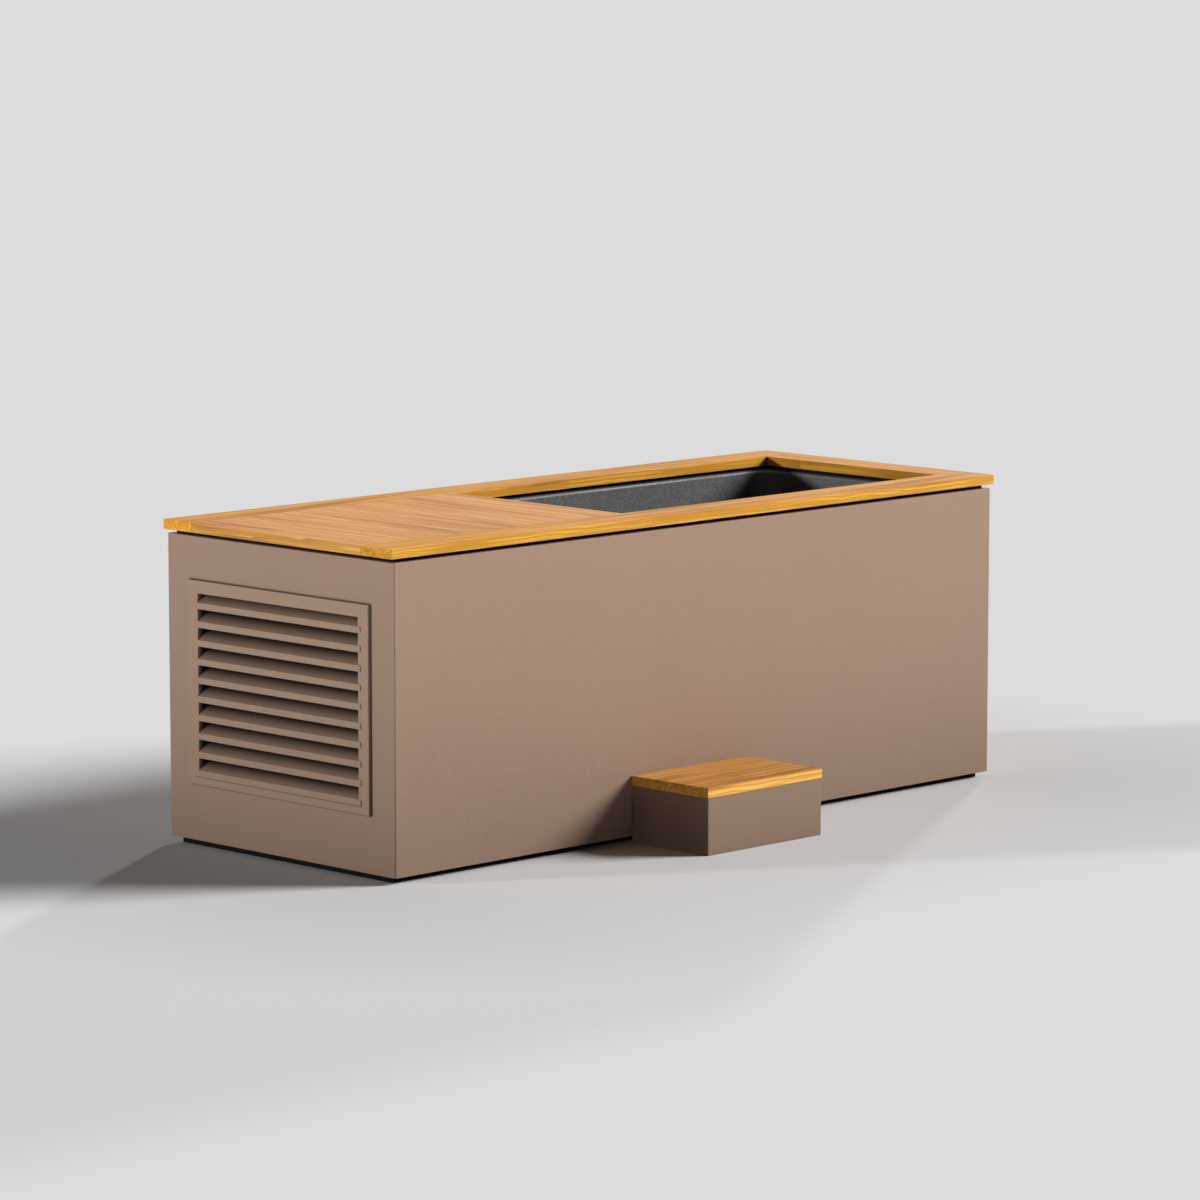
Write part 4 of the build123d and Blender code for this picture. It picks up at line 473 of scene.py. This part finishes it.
quarter_turn = math.pi / 2
rail_oak = (0.650, 0.312, 0.060)
hatch_oak = (0.675, 0.338, 0.124)
tread_oak = (0.588, 0.292, 0.082)
rim_top = cad_high[2]
# Tints for the sides below the top. The darker one is partly the oil's tint and partly painted shade; the lighter
# ones, for the back and end rails, are painted light.
oiled_edge_and_shade = (0.77, 0.825, 0.54)
inner_edge_light = (0.96, 1.00, 0.54)
end_edge_light = (0.92, 0.97, 0.56)
paint(
    timber("front_rail_timber", rail_oak, rim_top, oiled_edge_and_shade, shift=(0.3, 0.352, -0.78), heart=(0.075, 0.06), ring=0.008),
    "front_rail",
)
paint(
    timber("back_rail_timber", rail_oak, rim_top, inner_edge_light, shift=(1.7, -0.352, -0.78), heart=(0.08, 0.055), ring=0.008),
    "back_rail",
)
across_tub = (0, 0, quarter_turn)
paint(
    timber(
        "end_rail_timber", rail_oak, rim_top, end_edge_light, turn=across_tub, shift=(0, 1.0, -0.78), heart=(0.06, 0.07)
    ),
    "end_rail",
)
paint(
    timber(
        "hatch_timber", hatch_oak, rim_top, oiled_edge_and_shade, turn=across_tub, shift=(0, 0.6, -0.78),
        heart=(0.2, 0.09), ring=0.014,
    ),
    "hatch_panel",
)
paint(
    timber("batten_timber", hatch_oak, rim_top, oiled_edge_and_shade, shift=(0.9, 0.1, -0.75), heart=(0.05, 0.04)),
    "hatch_battens",
)

# Hinge: stainless strip leaves with rolled knuckles on a drawn pin.
paint(
    mottled("hinge_stainless", (0.46, 0.45, 0.44), 0.48, 1.0, scale=200.0),
    "hinge_leaf_fixed", "hinge_leaf_hatch", "hinge_pin",
)

# Controller: textured box, dark window and pale soft buttons.
paint(mottled("control_moulding", (0.05, 0.05, 0.055), 0.5, scale=900.0, bump=0.3), "control_box")
paint(mottled("window_acrylic", (0.008, 0.009, 0.012), 0.08, scale=20.0, bump=0.02), "control_display")
paint(mottled("button_moulding", (0.5, 0.51, 0.52), 0.45, scale=700.0), "button_power", "button_up", "button_down")

# Step: a folded, coated box with a timber tread screwed on from below, on rubber feet.
paint(powder_coat("step_coat", tuple(c * 0.86 for c in casing_taupe)), "step_shell")
tread_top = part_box("step_tread")[1][2]
# The tread's sides are made lighter and less blue than its top by this tint.
tread_edge = (1.15, 1.25, 0.90)
paint(
    timber("tread_timber", tread_oak, tread_top, tread_edge, shift=(0.6, 0.53, -0.15), heart=(0.09, 0.05)),
    "step_tread",
)
paint(mottled("screw_zinc", (0.55, 0.55, 0.54), 0.35, 1.0), "step_screws")
paint(mottled("foot_rubber", (0.02, 0.02, 0.02), 0.8, scale=400.0), "step_feet")

# Stage: a wide pale floor that keeps the tub's shadows, with painted shade that makes it a little darker close to the
# tub.
# To diffuse rays the floor is not a lit surface but a glow, painted light that is weak close by and stronger from
# further off, so the tub's sides grow lighter towards the top, as they do between pale studio walls.
floor_tone = 0.708
floor_half = 60.0
floor_glow = 2.2
tub_half = (1.05, 0.402)
floor_mesh = bpy.data.meshes.new("studio_floor")
floor_mesh.from_pydata(
    [(x * floor_half, y * floor_half, 0) for x, y in ((-1, -1), (1, -1), (1, 1), (-1, 1))], [], [(0, 1, 2, 3)]
)
floor = bpy.data.objects.new("studio_floor", floor_mesh)
bpy.context.scene.collection.objects.link(floor)
floor_material, floor_tree, floor_shader = new_material("studio_floor", (floor_tone,) * 3, 1.0)
floor_shader.inputs["Specular IOR Level"].default_value = 0.0
from_middle = add_node(floor_tree, "ShaderNodeVectorMath", operation="ABSOLUTE")
floor_tree.links.new(object_place(floor_tree), from_middle.inputs[0])
past_edge = add_node(floor_tree, "ShaderNodeVectorMath", operation="SUBTRACT")
past_edge.inputs[1].default_value = (*tub_half, 0.0)
floor_tree.links.new(from_middle.outputs[0], past_edge.inputs[0])
outside = add_node(floor_tree, "ShaderNodeVectorMath", operation="MAXIMUM")
floor_tree.links.new(past_edge.outputs[0], outside.inputs[0])
away = add_node(floor_tree, "ShaderNodeVectorMath", operation="LENGTH")
floor_tree.links.new(outside.outputs[0], away.inputs[0])
glow = add_node(floor_tree, "ShaderNodeEmission")
floor_tree.links.new(spread(floor_tree, away.outputs["Value"], 0.2, floor_glow, 0.2, 1.4), glow.inputs["Strength"])
# Painted shade: the floor's colour falls to 0.8 of its tone towards the tub's footprint.
shaded_close_by = (0.8 * floor_tone,) * 3
off_tub = spread(floor_tree, away.outputs["Value"], 0.0, 1.0, 0.0, 1.2)
seen = mix_colour(floor_tree, off_tub, shaded_close_by, (floor_tone,) * 3)
floor_tree.links.new(seen, floor_shader.inputs["Base Color"])
# The camera sees the lit floor; diffuse rays see the painted glow.
ray = add_node(floor_tree, "ShaderNodeLightPath")
seen_or_felt = add_node(floor_tree, "ShaderNodeMixShader")
floor_tree.links.new(ray.outputs["Is Diffuse Ray"], seen_or_felt.inputs[0])
floor_tree.links.new(floor_shader.outputs["BSDF"], seen_or_felt.inputs[1])
floor_tree.links.new(glow.outputs["Emission"], seen_or_felt.inputs[2])
floor_tree.links.new(seen_or_felt.outputs["Shader"], floor_tree.nodes["Material Output"].inputs["Surface"])
floor_mesh.materials.append(floor_material)

world = bpy.data.worlds.new("studio")
bpy.context.scene.world = world
world.use_nodes = True
sky = world.node_tree.nodes["Background"]
sky.inputs["Color"].default_value = (1, 1, 1, 1)
sky_ray = add_node(world.node_tree, "ShaderNodeLightPath")
sky_total = sky_ray.outputs["Is Camera Ray"]
for kind in ("Is Glossy Ray", "Is Transmission Ray"):
    either = add_node(world.node_tree, "ShaderNodeMath", operation="MAXIMUM")
    world.node_tree.links.new(sky_total, either.inputs[0])
    world.node_tree.links.new(sky_ray.outputs[kind], either.inputs[1])
    sky_total = either.outputs[0]
world.node_tree.links.new(spread(world.node_tree, sky_total, 0.015, floor_tone, 0.0, 1.0), sky.inputs["Strength"])


def sun(name, bearing, height, spread_angle, strength):
    """A far lamp seen from the tub at that bearing from +X and that height, in degrees."""
    data = bpy.data.lights.new(name, "SUN")
    data.angle = math.radians(spread_angle)
    data.energy = strength
    lamp = bpy.data.objects.new(name, data)
    bpy.context.scene.collection.objects.link(lamp)
    a, e = math.radians(bearing), math.radians(height)
    towards = Vector((math.cos(a) * math.cos(e), math.sin(a) * math.cos(e), math.sin(e)))
    lamp.rotation_euler = (-towards).to_track_quat("-Z", "Y").to_euler()
    return lamp


sun("key", -36.4, 26.5, 24.0, 5.3)
sun("left_back", 148.7, 11.0, 5.0, 2.1)
sun("right_back", 30.6, 15.3, 3.5, 1.35)
